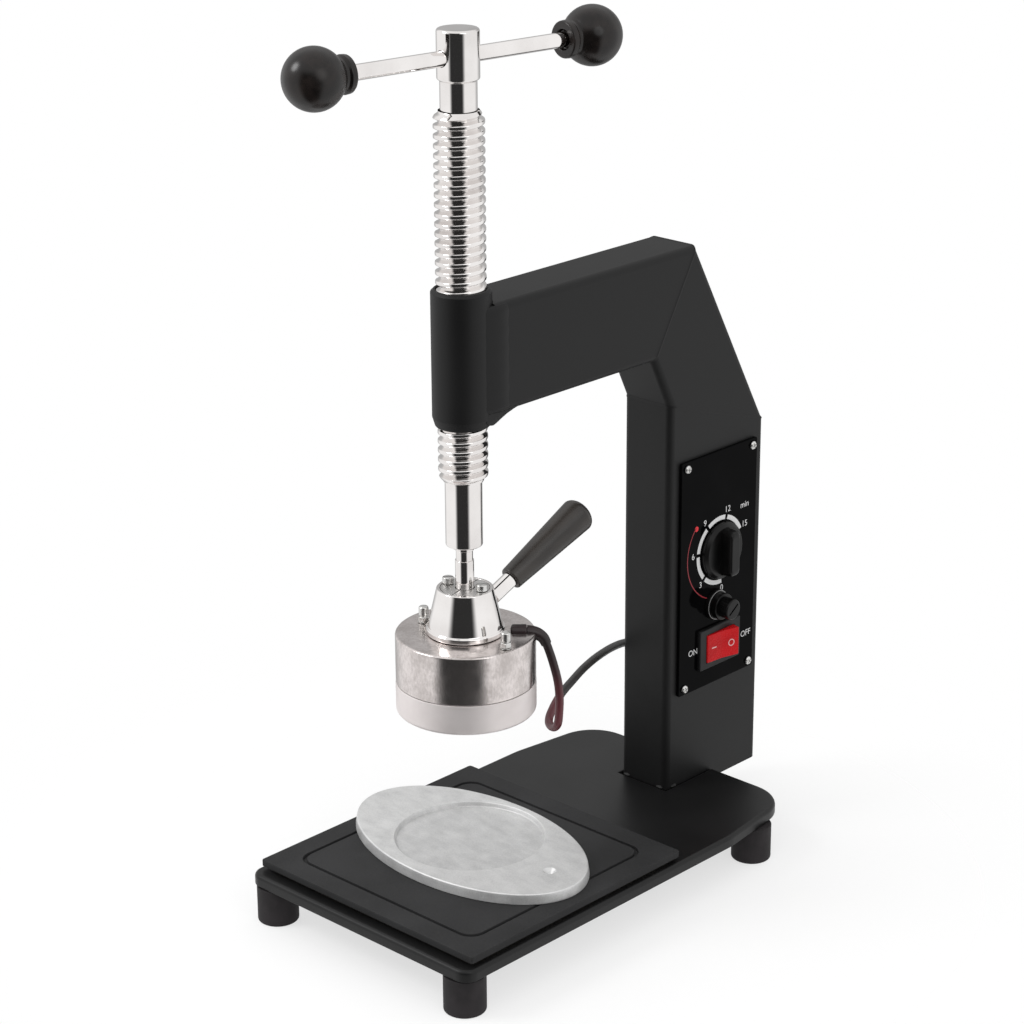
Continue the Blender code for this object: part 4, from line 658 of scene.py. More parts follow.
parts = (("lead_sleeve", route[:bend_at + 1], "heat_sleeve", "heating_head", "thrust_pad",
          relief_end, (relief_end.x, relief_end.y, DROP_END)),
         ("lead_strand", route[bend_at:loop_at + LAP], "heat_sleeve", "thrust_pad", "stand",
          bend, bend - Vector((0, 0, LAG_SPAN))),
         ("lead_loop", route[loop_at:cut_at + 1], "heat_sleeve", "thrust_pad", "stand",
          loop_from, loop_from + aside * LAG_SPAN),
         ("lead_sheath", route[cut_at:], "cable_sheath", "thrust_pad", "stand",
          sheath_from, cut + away))
for name, points, slot, near_body, far_body, blend_from, blend_to in parts:
    lead = loose_object(name, tube(points, LEAD_RADIUS, LEAD_RADIUS), slot)
    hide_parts("heater_lead")
    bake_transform(lead)
    print(name, round(line_length(points), 4), [round(v, 4) for v in points[0]])

relief = loose_object("lead_relief", tube(route[:RELIEF_POINTS], *RELIEF_RADIUS), "boot_rubber")
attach(relief, "heating_head")
print("relief", round(line_length(route[:RELIEF_POINTS]), 4))

# %% [markdown]
# ## Screws
# Every screw is a pan or cheese head on a shank, so one builder makes them all. The recess is
# what the eye looks for: a straight slot or a cross, cut a little off square on each screw,
# as they stop wherever they come tight.

# %% Screw builder
# Head radius, head height, shank radius, shank length, crossed
FOOT_SCREW = (0.0045, 0.003, 0.0025, 0.0168, True)
PLATE_SCREW = (0.0046, 0.0026, 0.0025, 0.0134, True)
PANEL_SCREW = (0.0029, 0.0018, 0.0015, 0.007, True)
RETAINER_SCREW = (0.0037, 0.0042, 0.0015, 0.011, False)


def screw_head(radius, height, shank, length, domed):
    """Head up, its underside at z = 0."""
    crown = ([(radius * 0.72, height, radius * 0.4), (radius, height * 0.45, height * 0.3)]
             if domed else [(radius, height, radius * 0.24)])
    return turned([
        (0, height), *crown, (radius, 0, height * 0.08), (shank, 0),
        (shank, -length, shank * 0.3), (0, -length)], 40)


def recess(radius, height, cross, angle):
    """A slot, or two crossed ones, through the top of a head."""
    reach = radius * (0.62 if cross else 1.3)
    return [moved(plate(box_outline(2 * reach, radius * 0.26, radius * 0.02, 1),
                        height * 0.45, height * 1.5), turn(angle + extra, 'Z'))
            for extra in ((0, 90) if cross else (0,))]


def add_screw(node, body, kind, place, angle):
    radius, height, shank, length, cross = kind
    made = add_piece(node + "_driven", screw_head(*kind), "zinc_steel", body, [node], place)
    carve(made, *recess(radius, height, cross, angle))


print("foot screw", FOOT_SCREW, "panel screw", PANEL_SCREW)

# %% [markdown]
# Eight screws go in from below: one through each foot, with its head sunk in the rubber, and
# four that hold the work plate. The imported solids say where.

# %% Screws under the base
GAP = 0.0003
FOOT_SINK = 0.0103
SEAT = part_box("foot_front_left")[1].z
CORNERS = ("front_left", "front_right", "rear_left", "rear_right")
for i, corner in enumerate(CORNERS):
    foot = middle("foot_" + corner) - AXIS
    add_screw("foot_screw_" + corner, "stand", FOOT_SCREW,
              lift(foot.x, foot.y, SEAT - FOOT_SINK) @ turn(180, 'X'), 17 * i)
    held = middle("work_plate_screw_" + corner) - AXIS
    add_screw("work_plate_screw_" + corner, "stand", PLATE_SCREW,
              lift(held.x, held.y, SEAT) @ turn(180, 'X'), 25 * i + 8)
print("screws under the base", 2 * len(CORNERS))

# %% [markdown]
# ## Base and feet
# The base is one flame-cut sheet: rounded at the front, drawn in behind, with a slot for the
# column. Its top edge is ground round, which gives the soft bright line along it. The feet
# are turned from rubber rod; their lower edge is worn a little rounder than the upper.

# %% Base plate and feet
BASE_HALF = 0.1
BASE_FRONT = -0.104
BASE_BACK = 0.224
BASE_LOW = 0.026
BASE_HIGH = 0.034
SLOT_HALF = 0.02105
SLOT_FRONT = 0.1745

right_side = [(BASE_HALF, BASE_FRONT, 0.01), (BASE_HALF, 0.1505, 0.06),
              (0.0905, BASE_BACK, 0.03), (SLOT_HALF, BASE_BACK), (SLOT_HALF, SLOT_FRONT)]
left_side = [(-point[0], *point[1:]) for point in reversed(right_side)]
sheet = plate(rounded(right_side + left_side, 10), BASE_LOW, BASE_HIGH, 0.0028, 0.0006, 4)
add_piece("base_sheet", sheet, "base_paint", "stand", ["base_plate"], None)
for corner in CORNERS:
    spot = middle("foot_" + corner) - AXIS
    foot = turned([
        (0.0136, SEAT - GAP, 0.0006), (0.0136, 0, 0.0016), (0.0056, 0, 0.0005),
        (0.0056, 0.0157), (0.0028, 0.0157), (0.0028, SEAT - GAP)], 64, True)
    add_piece("foot_turned_" + corner, foot, "black_rubber", "stand", ["foot_" + corner],
              lift(spot.x, spot.y))
print("base", BASE_HIGH, "feet", len(CORNERS))

# %% [markdown]
# ## Work plate
# A flat blasted plate with one milled groove running round it, which stops a tyre patch from
# sliding off the middle. It is drawn as nested rounded rectangles, each a little lower or
# further in than the last, so the groove's edges get their own small rounds.

# %% Work plate
WORK_SIZE = Vector((0.193, 0.196))
WORK_CENTRE = (0.0, 0.0025)
WORK_LOW = 0.0365
WORK_HIGH = 0.041
GROOVE_AT = 0.0159
GROOVE_WIDE = 0.0024
GROOVE_DEEP = 0.0022
GROOVE_CORNER = 0.011

groove_profile = rounded([
    (0.0, WORK_LOW), (0.0, WORK_HIGH, 0.0007), (GROOVE_AT, WORK_HIGH, 0.0003),
    (GROOVE_AT + 0.0002, WORK_HIGH - GROOVE_DEEP, 0.0003),
    (GROOVE_AT + GROOVE_WIDE - 0.0002, WORK_HIGH - GROOVE_DEEP, 0.0003),
    (GROOVE_AT + GROOVE_WIDE, WORK_HIGH, 0.0003), (0.04, WORK_HIGH)], 3)


def work_ring(inset, z):
    corner = 0.0016 if inset < GROOVE_AT / 2 else GROOVE_CORNER - (inset - GROOVE_AT) * 0.4
    return level(box_outline(*(WORK_SIZE - Vector((2, 2)) * inset), corner), z)


work = add_piece("work_plate_milled", loft([work_ring(*point) for point in groove_profile]),
                 "matt_plate", "stand", ["work_plate"], lift(*WORK_CENTRE))
print("work plate", len(work.data.vertices), "vertices")

# %% [markdown]
# ## Form plate
# A loose oval casting that spreads the pressure over the patch. Castings have draft and soft
# corners, so the recess wall leans; their skin is never quite flat, which the finish's relief
# shows. The small dimple is drilled.

# %% Form plate
FORM_LONG = 0.096
FORM_WIDE = 0.058
FORM_LOW = 0.0413
FORM_HIGH = 0.0481
FORM_TURN = -4
FORM_SPOT = (-0.0077, 0.0099)
RECESS_RADIUS = 0.05
RECESS_CENTRE = (-0.003, 0.0023)
RECESS_DEEP = 0.0032
FORM_FLOOR = FORM_HIGH - RECESS_DEEP
FORM_POINTS = 144

outer_profile = rounded([
    (0.0, FORM_LOW), (0.0, FORM_LOW + 0.0008), (0.001, FORM_HIGH, 0.0011),
    (0.006, FORM_HIGH)], 5)
inner_profile = rounded([
    (RECESS_RADIUS + 0.002, FORM_HIGH), (RECESS_RADIUS, FORM_HIGH, 0.0009),
    (RECESS_RADIUS - 0.0012, FORM_FLOOR, 0.0012), (RECESS_RADIUS - 0.006, FORM_FLOOR),
    (0.03, FORM_FLOOR), (0.006, FORM_FLOOR)], 5)
angles = [2 * math.pi * i / FORM_POINTS for i in range(FORM_POINTS)]
form_rings = [[((FORM_LONG - inset) * math.cos(a), (FORM_WIDE - inset) * math.sin(a), z)
               for a in angles] for inset, z in outer_profile[:-1]]
form_rings += [[(RECESS_CENTRE[0] + radius * math.cos(a),
                 RECESS_CENTRE[1] + radius * math.sin(a), z) for a in angles]
               for radius, z in inner_profile]
form = add_piece("form_plate_cast", loft(form_rings), "cast_aluminium", "form_plate",
                 ["form_plate"], lift(*FORM_SPOT) @ turn(FORM_TURN, 'Z'))
dimple = turned([
    (0, FORM_HIGH - 0.003), (0.0016, FORM_HIGH - 0.003), (0.0045, FORM_HIGH),
    (0.0045, FORM_HIGH + 0.003), (0, FORM_HIGH + 0.003)], 48)
carve(form, moved(dimple, lift(0.07, 0.006)))
print("form plate", len(form.data.vertices), "vertices")

# %% [markdown]
# ## Column, shoulder and arm
# Three lengths of box tube, sawn on a slant and welded: each ring of the tube is laid on the
# line of its cut, so one section serves all three. The end rings are swelled by a third of a
# millimetre, which leaves the low soft ridge that a ground and painted weld still shows.

# %% A box tube between two cuts
TUBE_WIDE = 0.0415
TUBE_WALL = 0.003
TUBE_CORNER = 0.005
WELD_RIDGE = 0.0003
RIDGE_END = 0.0014
INNER_CORNER = 0.0008
COLUMN_FRONT = 0.1748
COLUMN_BACK = 0.2742
COLUMN_CUT = ((COLUMN_FRONT, 0.313), (COLUMN_BACK, 0.282))
ARM_CUT = ((0.158, 0.3475), (0.1992, 0.4183))
ARM_FRONT = 0.01045
ARM_DEEP = ARM_CUT[1][1] - ARM_CUT[0][1]
BOSS_RADIUS = 0.019


def towards(start, end, length):
    share = length / math.dist(start, end)
    return tuple(a + share * (b - a) for a, b in zip(start, end))


def box_tube(depth, start, end, welds, closed_start=False):
    """Hollow tube between two cuts, each an (inner, outer) pair of (y, z) corners."""
    def ring(cut, other, inset, along):
        inner, outer = (towards(a, b, along) for a, b in zip(cut, other))
        outline = box_outline(TUBE_WIDE - 2 * inset, depth - 2 * inset,
                              max(TUBE_CORNER - inset, INNER_CORNER), 7)
        return [(x, inner[0] + (0.5 + y / depth) * (outer[0] - inner[0]),
                 inner[1] + (0.5 + y / depth) * (outer[1] - inner[1])) for x, y in outline]

    def tube_end(cut, other, welded):
        ridge = WELD_RIDGE if welded else 0.0
        return [ring(cut, other, -ridge, 0.0), ring(cut, other, -ridge, RIDGE_END / 2),
                ring(cut, other, 0.0, RIDGE_END)]

    rings = [*tube_end(start, end, welds[0]), *tube_end(end, start, welds[1])[::-1],
             ring(end, start, TUBE_WALL, 0.0),
             ring(start, end, TUBE_WALL, TUBE_WALL if closed_start else 0.0)]
    return loft(rings, closed=not closed_start)


print("tube", TUBE_WIDE, "wide, wall", TUBE_WALL)

# %% [markdown]
# The column gets an opening behind the control panel, which makes room for the timer, the fuse
# holder and the switch. The arm's end is coped: cut hollow, to fit round the boss.

# %% Column, shoulder and arm
PANEL_OPENING = (0.054, 0.146, 0.002)
COPE_LOW = 0.3
COPE_HIGH = 0.5
PANEL_AXES = Matrix(((0, 0, 1, 0), (1, 0, 0, 0), (0, 1, 0, 0), (0, 0, 0, 1)))
foot_cut = ((COLUMN_FRONT, BASE_LOW), (COLUMN_BACK, BASE_LOW))
arm_end = ((ARM_FRONT, ARM_CUT[0][1]), (ARM_FRONT, ARM_CUT[1][1]))
column_deep = COLUMN_BACK - COLUMN_FRONT
tubes = {}
for node, depth, start, end, welds, closed in (
        ("column", column_deep, foot_cut, COLUMN_CUT, (False, True), True),
        ("shoulder", ARM_DEEP, COLUMN_CUT, ARM_CUT, (True, True), False),
        ("arm", ARM_DEEP, ARM_CUT, arm_end, (True, False), False)):
    tubes[node] = add_piece(node + "_tube", box_tube(depth, start, end, welds, closed),
                            "black_paint", "stand", [node])
panel_low, panel_high = (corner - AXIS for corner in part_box("control_panel"))
panel_middle = (panel_low + panel_high) / 2
carve(tubes["column"], moved(plate(box_outline(*PANEL_OPENING, 2), -0.006, 0.003),
                             lift(TUBE_WIDE / 2, *panel_middle.yz) @ PANEL_AXES))
cope = BOSS_RADIUS + GAP
carve(tubes["arm"], turned([
    (0, COPE_LOW), (cope, COPE_LOW), (cope, COPE_HIGH), (0, COPE_HIGH)]))
print("tubes", TUBE_WIDE, "by", round(column_deep, 4))

# %% [markdown]
# ## Welds
# A hand-laid bead is a row of overlapping puddles, so the fillet swells and narrows along its
# length and thins out at its ends. It is swept as a small curved triangle. Four short tacks
# hold the column in the base's slot.

# %% Tacks at the column's foot
UP = Vector((0, 0, 1))
TACK_LENGTH = 0.0052
TACK_POINTS = 9
TACK_SIZE = 0.0012
TACK_RIPPLE = 0.9
# Each tack's place along the base (x, y) and the way its face looks
TACKS = {"front_right": ((0.015, COLUMN_FRONT), (0, -1)),
         "right": ((TUBE_WIDE / 2, 0.183), (1, 0)),
         "front_left": ((-0.015, COLUMN_FRONT), (0, -1)),
         "left": ((-TUBE_WIDE / 2, 0.183), (-1, 0))}


def tack(middle_spot, face):
    """A fillet in the corner between the base and one face of the column."""
    out = Vector((*face, 0))
    along = out.cross(UP) * TACK_LENGTH
    sink = TACK_SIZE * 0.3
    rings = []
    for i in range(TACK_POINTS):
        point = Vector((*middle_spot, BASE_HIGH)) + along * (i / (TACK_POINTS - 1) - 0.5)
        ends = min(1.0, 0.45 + 0.2 * i, 0.45 + 0.2 * (TACK_POINTS - 1 - i))
        swell = TACK_SIZE * ends * (1 + 0.12 * math.sin(TACK_RIPPLE * i))
        section = [(-sink, -sink), (swell, -sink), (swell, 0), (0.6 * swell, 0.3 * swell),
                   (0.3 * swell, 0.6 * swell), (0, swell), (-sink, swell)]
        rings.append([point + out * a + UP * b for a, b in section])
    return loft(rings)


for name, place in TACKS.items():
    add_piece("tack_weld_" + name, tack(*place), "black_paint", "stand")
print("tacks", len(TACKS))

# %% [markdown]
# Two long fillets close the arm's corners onto the boss, and a third runs under the arm. Each
# is one section, drawn for a ground and painted weld and carried along the joint. The one under
# the arm keeps outside the bore, because the screw's plain tip passes there.

# %% Fillets between arm and boss
# Sections beside the boss (x, y) and under the arm (y, z)
SIDE_FILLET = ((0.016, 0.005), (0.0186, 0.0008), (0.0194, 0.0038), (0.0201, 0.0068),
               (0.0207, 0.0096), (0.0211, 0.0122), (0.0213, 0.015), (0.0212, 0.0182),
               (0.0204, 0.0216), (0.016, 0.02))
UNDER_FILLET = ((0.0185, 0.349), (0.0345, 0.348), (0.031, 0.3467), (0.0272, 0.345),
                (0.0238, 0.3428), (0.021, 0.3408), (0.0197, 0.3401), (0.0185, 0.3402))
# How far the lower fillet reaches at each place across the arm
UNDER_SPAN = ((0.0188, 0.6), (0.0181, 0.86), (0.0165, 1), (0.0125, 1), (0.0065, 1))
FILLET_ROOT = 0.016
FILLET_RINGS = 66
FILLET_START = 0.0008
FILLET_STEP = 0.00106
FILLET_RIPPLE = 0.55
FILLET_SWELL = 0.015
arm_low, arm_top = (corner[1] for corner in ARM_CUT)


def side_fillet(side):
    rings = []
    for i in range(FILLET_RINGS):
        z = arm_low + FILLET_START + i * FILLET_STEP
        near = min(1.0, (z - arm_low) / TUBE_CORNER, (arm_top - z) / TUBE_CORNER)
        share = math.sqrt(1 - (1 - near) ** 2) + FILLET_SWELL * math.sin(FILLET_RIPPLE * i)
        rings.append([(side * (FILLET_ROOT + (x - FILLET_ROOT) * share), y, z)
                      for x, y in SIDE_FILLET])
    return loft(rings)


def under_fillet():
    top, reach = UNDER_FILLET[0][1], UNDER_FILLET[1][0]
    rings = []
    for x, share in [*((-x, share) for x, share in UNDER_SPAN), (0, 1), *UNDER_SPAN[::-1]]:
        root = math.sqrt(BOSS_RADIUS ** 2 - x * x)
        spread = share * (reach - root) / (reach - BOSS_RADIUS)
        rings.append([(x, root + (y - BOSS_RADIUS) * (spread if y > BOSS_RADIUS else 1),
                       top + (z - top) * share) for y, z in UNDER_FILLET])
    return loft(rings)


for name, fillet in (("right", side_fillet(1)), ("left", side_fillet(-1)),
                     ("under", under_fillet())):
    add_piece("arm_weld_" + name, fillet, "black_paint", "stand")
print("fillet rings", FILLET_RINGS)

# %% [markdown]
# ## Boss
# The threaded boss is a turned sleeve, painted with the frame, and its lower end is turned
# down to a long soft chamfer.

# %% Screw boss
BOSS_LOW = 0.3395
BOSS_HIGH = 0.427
boss = turned([
    (0.0172, BOSS_HIGH, 0.0005), (BOSS_RADIUS, 0.4252, 0.0008), (BOSS_RADIUS, 0.3455, 0.0016),
    (0.0172, BOSS_LOW, 0.001), (0.01605, BOSS_LOW), (0.01605, BOSS_HIGH)], 96, True)
add_piece("boss_sleeve", boss, "black_paint", "stand", ["screw_boss"])
print("boss from", BOSS_LOW, "to", BOSS_HIGH)

# %% [markdown]
# ## Press screw
# The thread is what shows, so it gets a true helix: every column of points has the same
# profile, slid down by its share of the pitch. Crests are slightly crowned and the roots
# narrow, which makes the bright and dark stripes. The thread runs out softly at both ends.
# Head, plain tip, stem and button are turned in one with it on the real screw.

# %% Threaded bar
THREAD_TOP = 0.537
THREAD_LOW = 0.303
PITCH = 0.006
CREST_RADIUS = 0.01575
ROOT_RADIUS = 0.01265
THREAD_SIDES = 60
RUN_OUT = 0.004
CREST = ((0.0, 0.8), (0.05, 0.95), (0.13, 1.0), (0.33, 1.0), (0.41, 0.95), (0.46, 0.8),
         (0.59, 0.3), (0.66, 0.06), (0.73, 0.0), (0.8, 0.06), (0.87, 0.3))


def thread_point(angle, z, height):
    fade = min(1.0, max(0.0, min(THREAD_TOP - z, z - THREAD_LOW) / RUN_OUT))
    radius = ROOT_RADIUS + (CREST_RADIUS - ROOT_RADIUS) * height * fade
    return radius * math.cos(angle), radius * math.sin(angle), z


thread = bmesh.new()
columns = []
turns = round((THREAD_TOP - THREAD_LOW) / PITCH)
for side in range(THREAD_SIDES + 1):
    share = side / THREAD_SIDES
    line = [(THREAD_TOP, 0.0)]
    for number in range(-1, turns + 1):
        for place, height in CREST:
            z = THREAD_TOP - PITCH * (number + place - share + 1)
            line.append((min(max(z, THREAD_LOW), THREAD_TOP), height))
    line.append((THREAD_LOW, 0.0))
    columns.append([thread.verts.new(thread_point(share * 2 * math.pi, z, height))
                    for z, height in line])
for left, right in zip(columns, columns[1:]):
    for i in range(len(left) - 1):
        thread.faces.new((left[i], left[i + 1], right[i + 1], right[i]))
bmesh.ops.remove_doubles(thread, verts=thread.verts[:], dist=2e-6)
bmesh.ops.dissolve_degenerate(thread, dist=1e-7, edges=thread.edges[:])
bmesh.ops.recalc_face_normals(thread, faces=thread.faces[:])
add_piece("screw_thread", thread, "chrome", "press_screw", ["press_screw"])
print("thread turns", turns)

# %% [markdown]
# The head is bored across for the tommy bar. Below the thread the bar ends in a plain tip, a
# thin stem and the button, which is all that the heating head hangs from.

# %% Head, tip and button
BAR_HIGH = 0.569
BAR_TURN = 82.25
BAR_RADIUS = 0.0048
BORE_REACH = 0.02
head = add_piece("screw_head", turned([
    (0, 0.586), (0.0131, 0.586, 0.0018), (0.0131, 0.556, 0.0014), (0.0114, 0.5548, 0.0006),
    (0.0114, 0.5362), (0, 0.5362)], 96), "chrome", "press_screw", ["press_screw"])
BAR_PLACE = lift(z=BAR_HIGH) @ turn(BAR_TURN, 'Z') @ turn(-90, 'Y')
bore = turned([
    (0, -BORE_REACH), (BAR_RADIUS + GAP, -BORE_REACH), (BAR_RADIUS + GAP, BORE_REACH),
    (0, BORE_REACH)], 64)
carve(head, moved(bore, BAR_PLACE))
add_piece("screw_tip", turned([
    (0, 0.304), (0.0118, 0.304), (0.0118, 0.26, 0.0012), (0.006, 0.26),
    (0.006, 0.2565, 0.0003), (0.0054, 0.2565), (0.0054, 0.25), (0.006, 0.25, 0.0003),
    (0.006, 0.2274), (0.0085, 0.2274, 0.0006), (0.0085, 0.2148, 0.0006), (0, 0.2148)], 96),
    "chrome", "press_screw", ["press_screw"])
print("head bored at", BAR_HIGH)

# %% [markdown]
# ## Tommy bar and ball knobs
# A plain chromed bar slides through the head, and a moulded ball at each end stops it. The
# ball grows out of a short collar with a parting line; its polish is what gives the small
# hard highlights, so the mesh needs enough rings to keep them round.

# %% Bar and balls
BALL_REACH = 0.1039
BALL_RADIUS = 0.019
COLLAR_RADIUS = 0.0118
COLLAR_REACH = 0.0235
BALL_RINGS = 32
BAR_END = 0.0972
add_piece("tommy_bar_rod", turned([
    (0, -BAR_END), (BAR_RADIUS, -BAR_END, 0.0006), (BAR_RADIUS, BAR_END, 0.0006),
    (0, BAR_END)], 64), "chrome", "tommy_bar", ["tommy_bar"], BAR_PLACE)


def ball_profile():
    neck = math.pi - math.asin((COLLAR_RADIUS - 0.0009) / BALL_RADIUS)
    profile = [(0, -0.0063), (BAR_RADIUS + GAP, -0.0063),
               (BAR_RADIUS + GAP, 0.0035 - COLLAR_REACH),
               (BAR_RADIUS + 0.0014, 0.0028 - COLLAR_REACH, 0.0004),
               (BAR_RADIUS + 0.0018, -COLLAR_REACH, 0.0008),
               (COLLAR_RADIUS - 0.0003, -COLLAR_REACH, 0.0012),
               (COLLAR_RADIUS, 0.004 - COLLAR_REACH, 0.0012),
               (COLLAR_RADIUS - 0.0013, 0.0055 - COLLAR_REACH, 0.0008),
               (COLLAR_RADIUS - 0.0011, BALL_RADIUS * math.cos(neck) - 0.0006, 0.0004)]
    for i in range(BALL_RINGS + 1):
        angle = neck * (1 - i / BALL_RINGS)
        profile.append((BALL_RADIUS * math.sin(angle), BALL_RADIUS * math.cos(angle)))
    return profile


for name, side in (("ball_knob_front", -1), ("ball_knob_rear", 1)):
    place = BAR_PLACE @ lift(z=-side * BALL_REACH) @ (turn(180, 'X') if side > 0 else Matrix())
    add_piece(name + "_moulded", turned(ball_profile(), 72), "bakelite", "tommy_bar", [name],
              place)
    print(name, [round(v, 4) for v in (place.translation + AXIS)])

# %% [markdown]
# ## Heating head
# The cone cap holds the screw's button, so the head hangs from the screw and may swivel. A
# split ring under two cheese-head screws closes it. Below it a deep-drawn shell covers the
# heater, and the thick aluminium plate under that does the pressing. All are turned, chromed
# or left bright, and their edge rounds carry the thin lines of light.

# %% Cone cap, shell and heating plate
HEAD = "heating_head"
add_piece("cone_cap_turned", turned([
    (0, 0.2125), (0.009, 0.2125), (0.009, 0.2279), (0.016, 0.2279), (0.016, 0.2312, 0.0003),
    (0.0181, 0.2312, 0.0008), (0.0241, 0.2054, 0.0012), (0.0253, 0.2046, 0.001),
    (0.0253, 0.2013, 0.0008), (0.01, 0.2013), (0.01, 0.1898), (0, 0.1898)], 128), "chrome",
    HEAD, ["cone_cap"])
shell = add_piece("heater_shell_drawn", turned([
    (0.0103, 0.201), (0.045, 0.201, 0.0017), (0.045, 0.1686, 0.0004), (0.0424, 0.1686),
    (0.0424, 0.197), (0.0103, 0.197)], 160, True), "satin_chrome", HEAD, ["heater_shell"],
    None)
GROMMET_PLACE = lift(z=LEAD_START_HEIGHT) @ turn(LEAD_YAW, 'Z') @ turn(90, 'Y')
notch = plate(box_outline(0.0106, 0.0106, 0.0038), 0.0287, 0.0515)
carve(shell, moved(notch, GROMMET_PLACE))
add_piece("heating_plate_turned", turned([
    (0, 0.1646), (0.0293, 0.1646), (0.0293, 0.1683), (0.0452, 0.1683, 0.0004),
    (0.0452, 0.148, 0.0026), (0, 0.148)], 160), "turned_aluminium", HEAD, ["heating_plate"])
print("shell", round(shell.dimensions.x, 4), "wide")

# %% [markdown]
# The retainer is a ring sawn in two, so that it can go round the screw's stem. Each clamp bolt
# is a stud with a rounded nut and a thin washer, standing where its own solid stands.

# %% Split ring, its screws and the clamp bolts
RING_TURN = 12
RING_OUT = 0.0157
RING_IN = 0.0063
RING_SPLIT = 0.0003
RETAINER_SPOT = lift(0.0126, 0, 0.2315)
NUT_TURN = 14


def half_ring(steps=32):
    limits = [math.degrees(math.acos(RING_SPLIT / r)) for r in (RING_OUT, RING_IN)]
    return (arc(RING_OUT, -limits[0], limits[0], steps)
            + arc(RING_IN, limits[1], -limits[1], steps))


def hexagon(radius):
    return rounded([(*point, radius * 0.08) for point in arc(radius, 0, 300, 5)], 3)


for side, start in (("right", RING_TURN), ("left", RING_TURN + 180)):
    add_piece("retainer_half_" + side, plate(half_ring(), 0.2282, 0.2312, 0.0003, 0, 2),
              "bare_steel", HEAD, ["retainer_" + side], turn(start, 'Z'))
    add_screw("retainer_screw_" + side, HEAD, RETAINER_SCREW, turn(start, 'Z') @ RETAINER_SPOT,
              35)
    spot = middle("clamp_bolt_" + side) - AXIS
    bolt = turned([
        (0, 0.2121), (0.0032, 0.2121, 0.0012), (0.0032, 0.2063, 0.0004), (0.0025, 0.206),
        (0.0025, 0.2053), (0.0025, 0.1588), (0, 0.1588)], 40)
    washer = turned([
        (0.0026, 0.2018), (0.0038, 0.2018, 0.0001), (0.0038, 0.2013), (0.0026, 0.2013)], 40,
        True)
    nut = plate(hexagon(0.0037), 0.2019, 0.2053, 0.0004, 0.0004)
    place = lift(spot.x, spot.y)
    add_piece("clamp_stud_" + side, bolt, "zinc_steel", HEAD, ["clamp_bolt_" + side], place)
    add_piece("clamp_washer_" + side, washer, "zinc_steel", HEAD, (), place)
    add_piece("clamp_nut_" + side, nut, "zinc_steel", HEAD, (), place @ turn(NUT_TURN, 'Z'))
print("clamps at", [round(v, 4) for v in spot])

# %% [markdown]
# ## Side handle and the lead's strain relief
# The grip is a tapered moulding on a turned shank that screws into the cone. The strain relief
# is a rubber sleeve: square where it sits in the shell's notch, then a taper round the lead.

# %% Handle and grommet
HANDLE_HIGH = 0.207
HANDLE_YAW = 85
HANDLE_RISE = 26.6
HANDLE_PLACE = lift(z=HANDLE_HIGH) @ turn(HANDLE_YAW, 'Z') @ turn(90 - HANDLE_RISE, 'Y')
GRIP_START = 0.043
GRIP_END = 0.115
GRIP_RADIUS = 0.0116
add_piece("handle_shank_turned", turned([
    (0, 0.014), (0.004, 0.014), (0.004, 0.0256), (0.0054, 0.0256, 0.0004),
    (0.0054, 0.0427, 0.0004), (0.004, 0.0427), (0.004, 0.081), (0, 0.081)], 64), "chrome",
    HEAD, ["handle_shank"], HANDLE_PLACE)
dome = GRIP_RADIUS * 0.62
grip_profile = [(0, 0.0813), (0.0043, 0.0813), (0.0043, GRIP_START, 0.0004),
                (0.0078, GRIP_START, 0.0012)]
grip_profile += [(x, GRIP_END - dome * (1 - y / GRIP_RADIUS))
                 for x, y in arc(GRIP_RADIUS, 0, 90, 16)]
add_piece("handle_grip_moulded", turned(grip_profile, 80), "grip_bakelite", HEAD,
          ["handle_grip"], HANDLE_PLACE)
grommet = plate(box_outline(0.0098, 0.0098, 0.0044), 0.029, 0.039, 0.0006, 0.0016)
add_piece("grommet_block", grommet, "boot_rubber", HEAD, ["lead_grommet"], GROMMET_PLACE)
print("grip", round(GRIP_END - GRIP_START, 4), "long")

# %% [markdown]
# ## Glands
# A gland is a nut with a rubber-gripping dome. The nut is a rounded hexagon; shallow slots
# round the dome let it close on the cable.

# %% Glands on the column
# Node, place, radius of the mouth; the mains lead isn't modelled, so its gland is open
GLANDS = (("lead_gland", lift(-0.02075, 0.218, 0.1138) @ turn(-90, 'Y'), 0.003),
          ("mains_gland", lift(0, 0.2742, 0.062) @ turn(-90, 'X'), 0.0036))
GLAND_SLOTS = 8
for node, place, mouth in GLANDS:
    dome = turned([
        (mouth, 0.012, 0.0004), (0.0053, 0.012, 0.0009), (0.0062, 0.008, 0.001),
        (0.0064, 0.0058), (0.0058, 0.0056), (0.0058, -0.009), (mouth, -0.009)], 48, True)
    made = add_piece(node + "_dome", dome, "black_plastic", "stand", [node], place)
    carve(made, *(moved(plate(box_outline(0.002, 0.0007, 0.0002, 1), 0.0085, 0.013),
                        turn(360 / GLAND_SLOTS * i, 'Z') @ lift(0.0062))
                  for i in range(GLAND_SLOTS)))
    nut = plate(hexagon(0.0078), GAP, 0.0058, 0.0007, 0.0003)
    add_piece(node + "_nut", nut, "black_plastic", "stand", (), place)
print("glands", len(GLANDS))

# %% [markdown]
# ## Control panel
# A gloss plate over the column's side opening, held by four screws. Its own axes run along
# the plate and up it, with zero on its face, so every mark and knob is placed as on a drawing.

# %% Panel plate and screws
FACE = panel_high.x
PANEL_PLACE = lift(FACE, panel_middle.y, panel_middle.z) @ PANEL_AXES


def on_panel(node):
    """A node's centre in the panel's own axes."""
    return (middle(node) - AXIS).y - panel_middle.y, (middle(node) - AXIS).z - panel_middle.z


def panel_spot(u, v, height=0.0):
    return PANEL_PLACE @ lift(u, v, height)


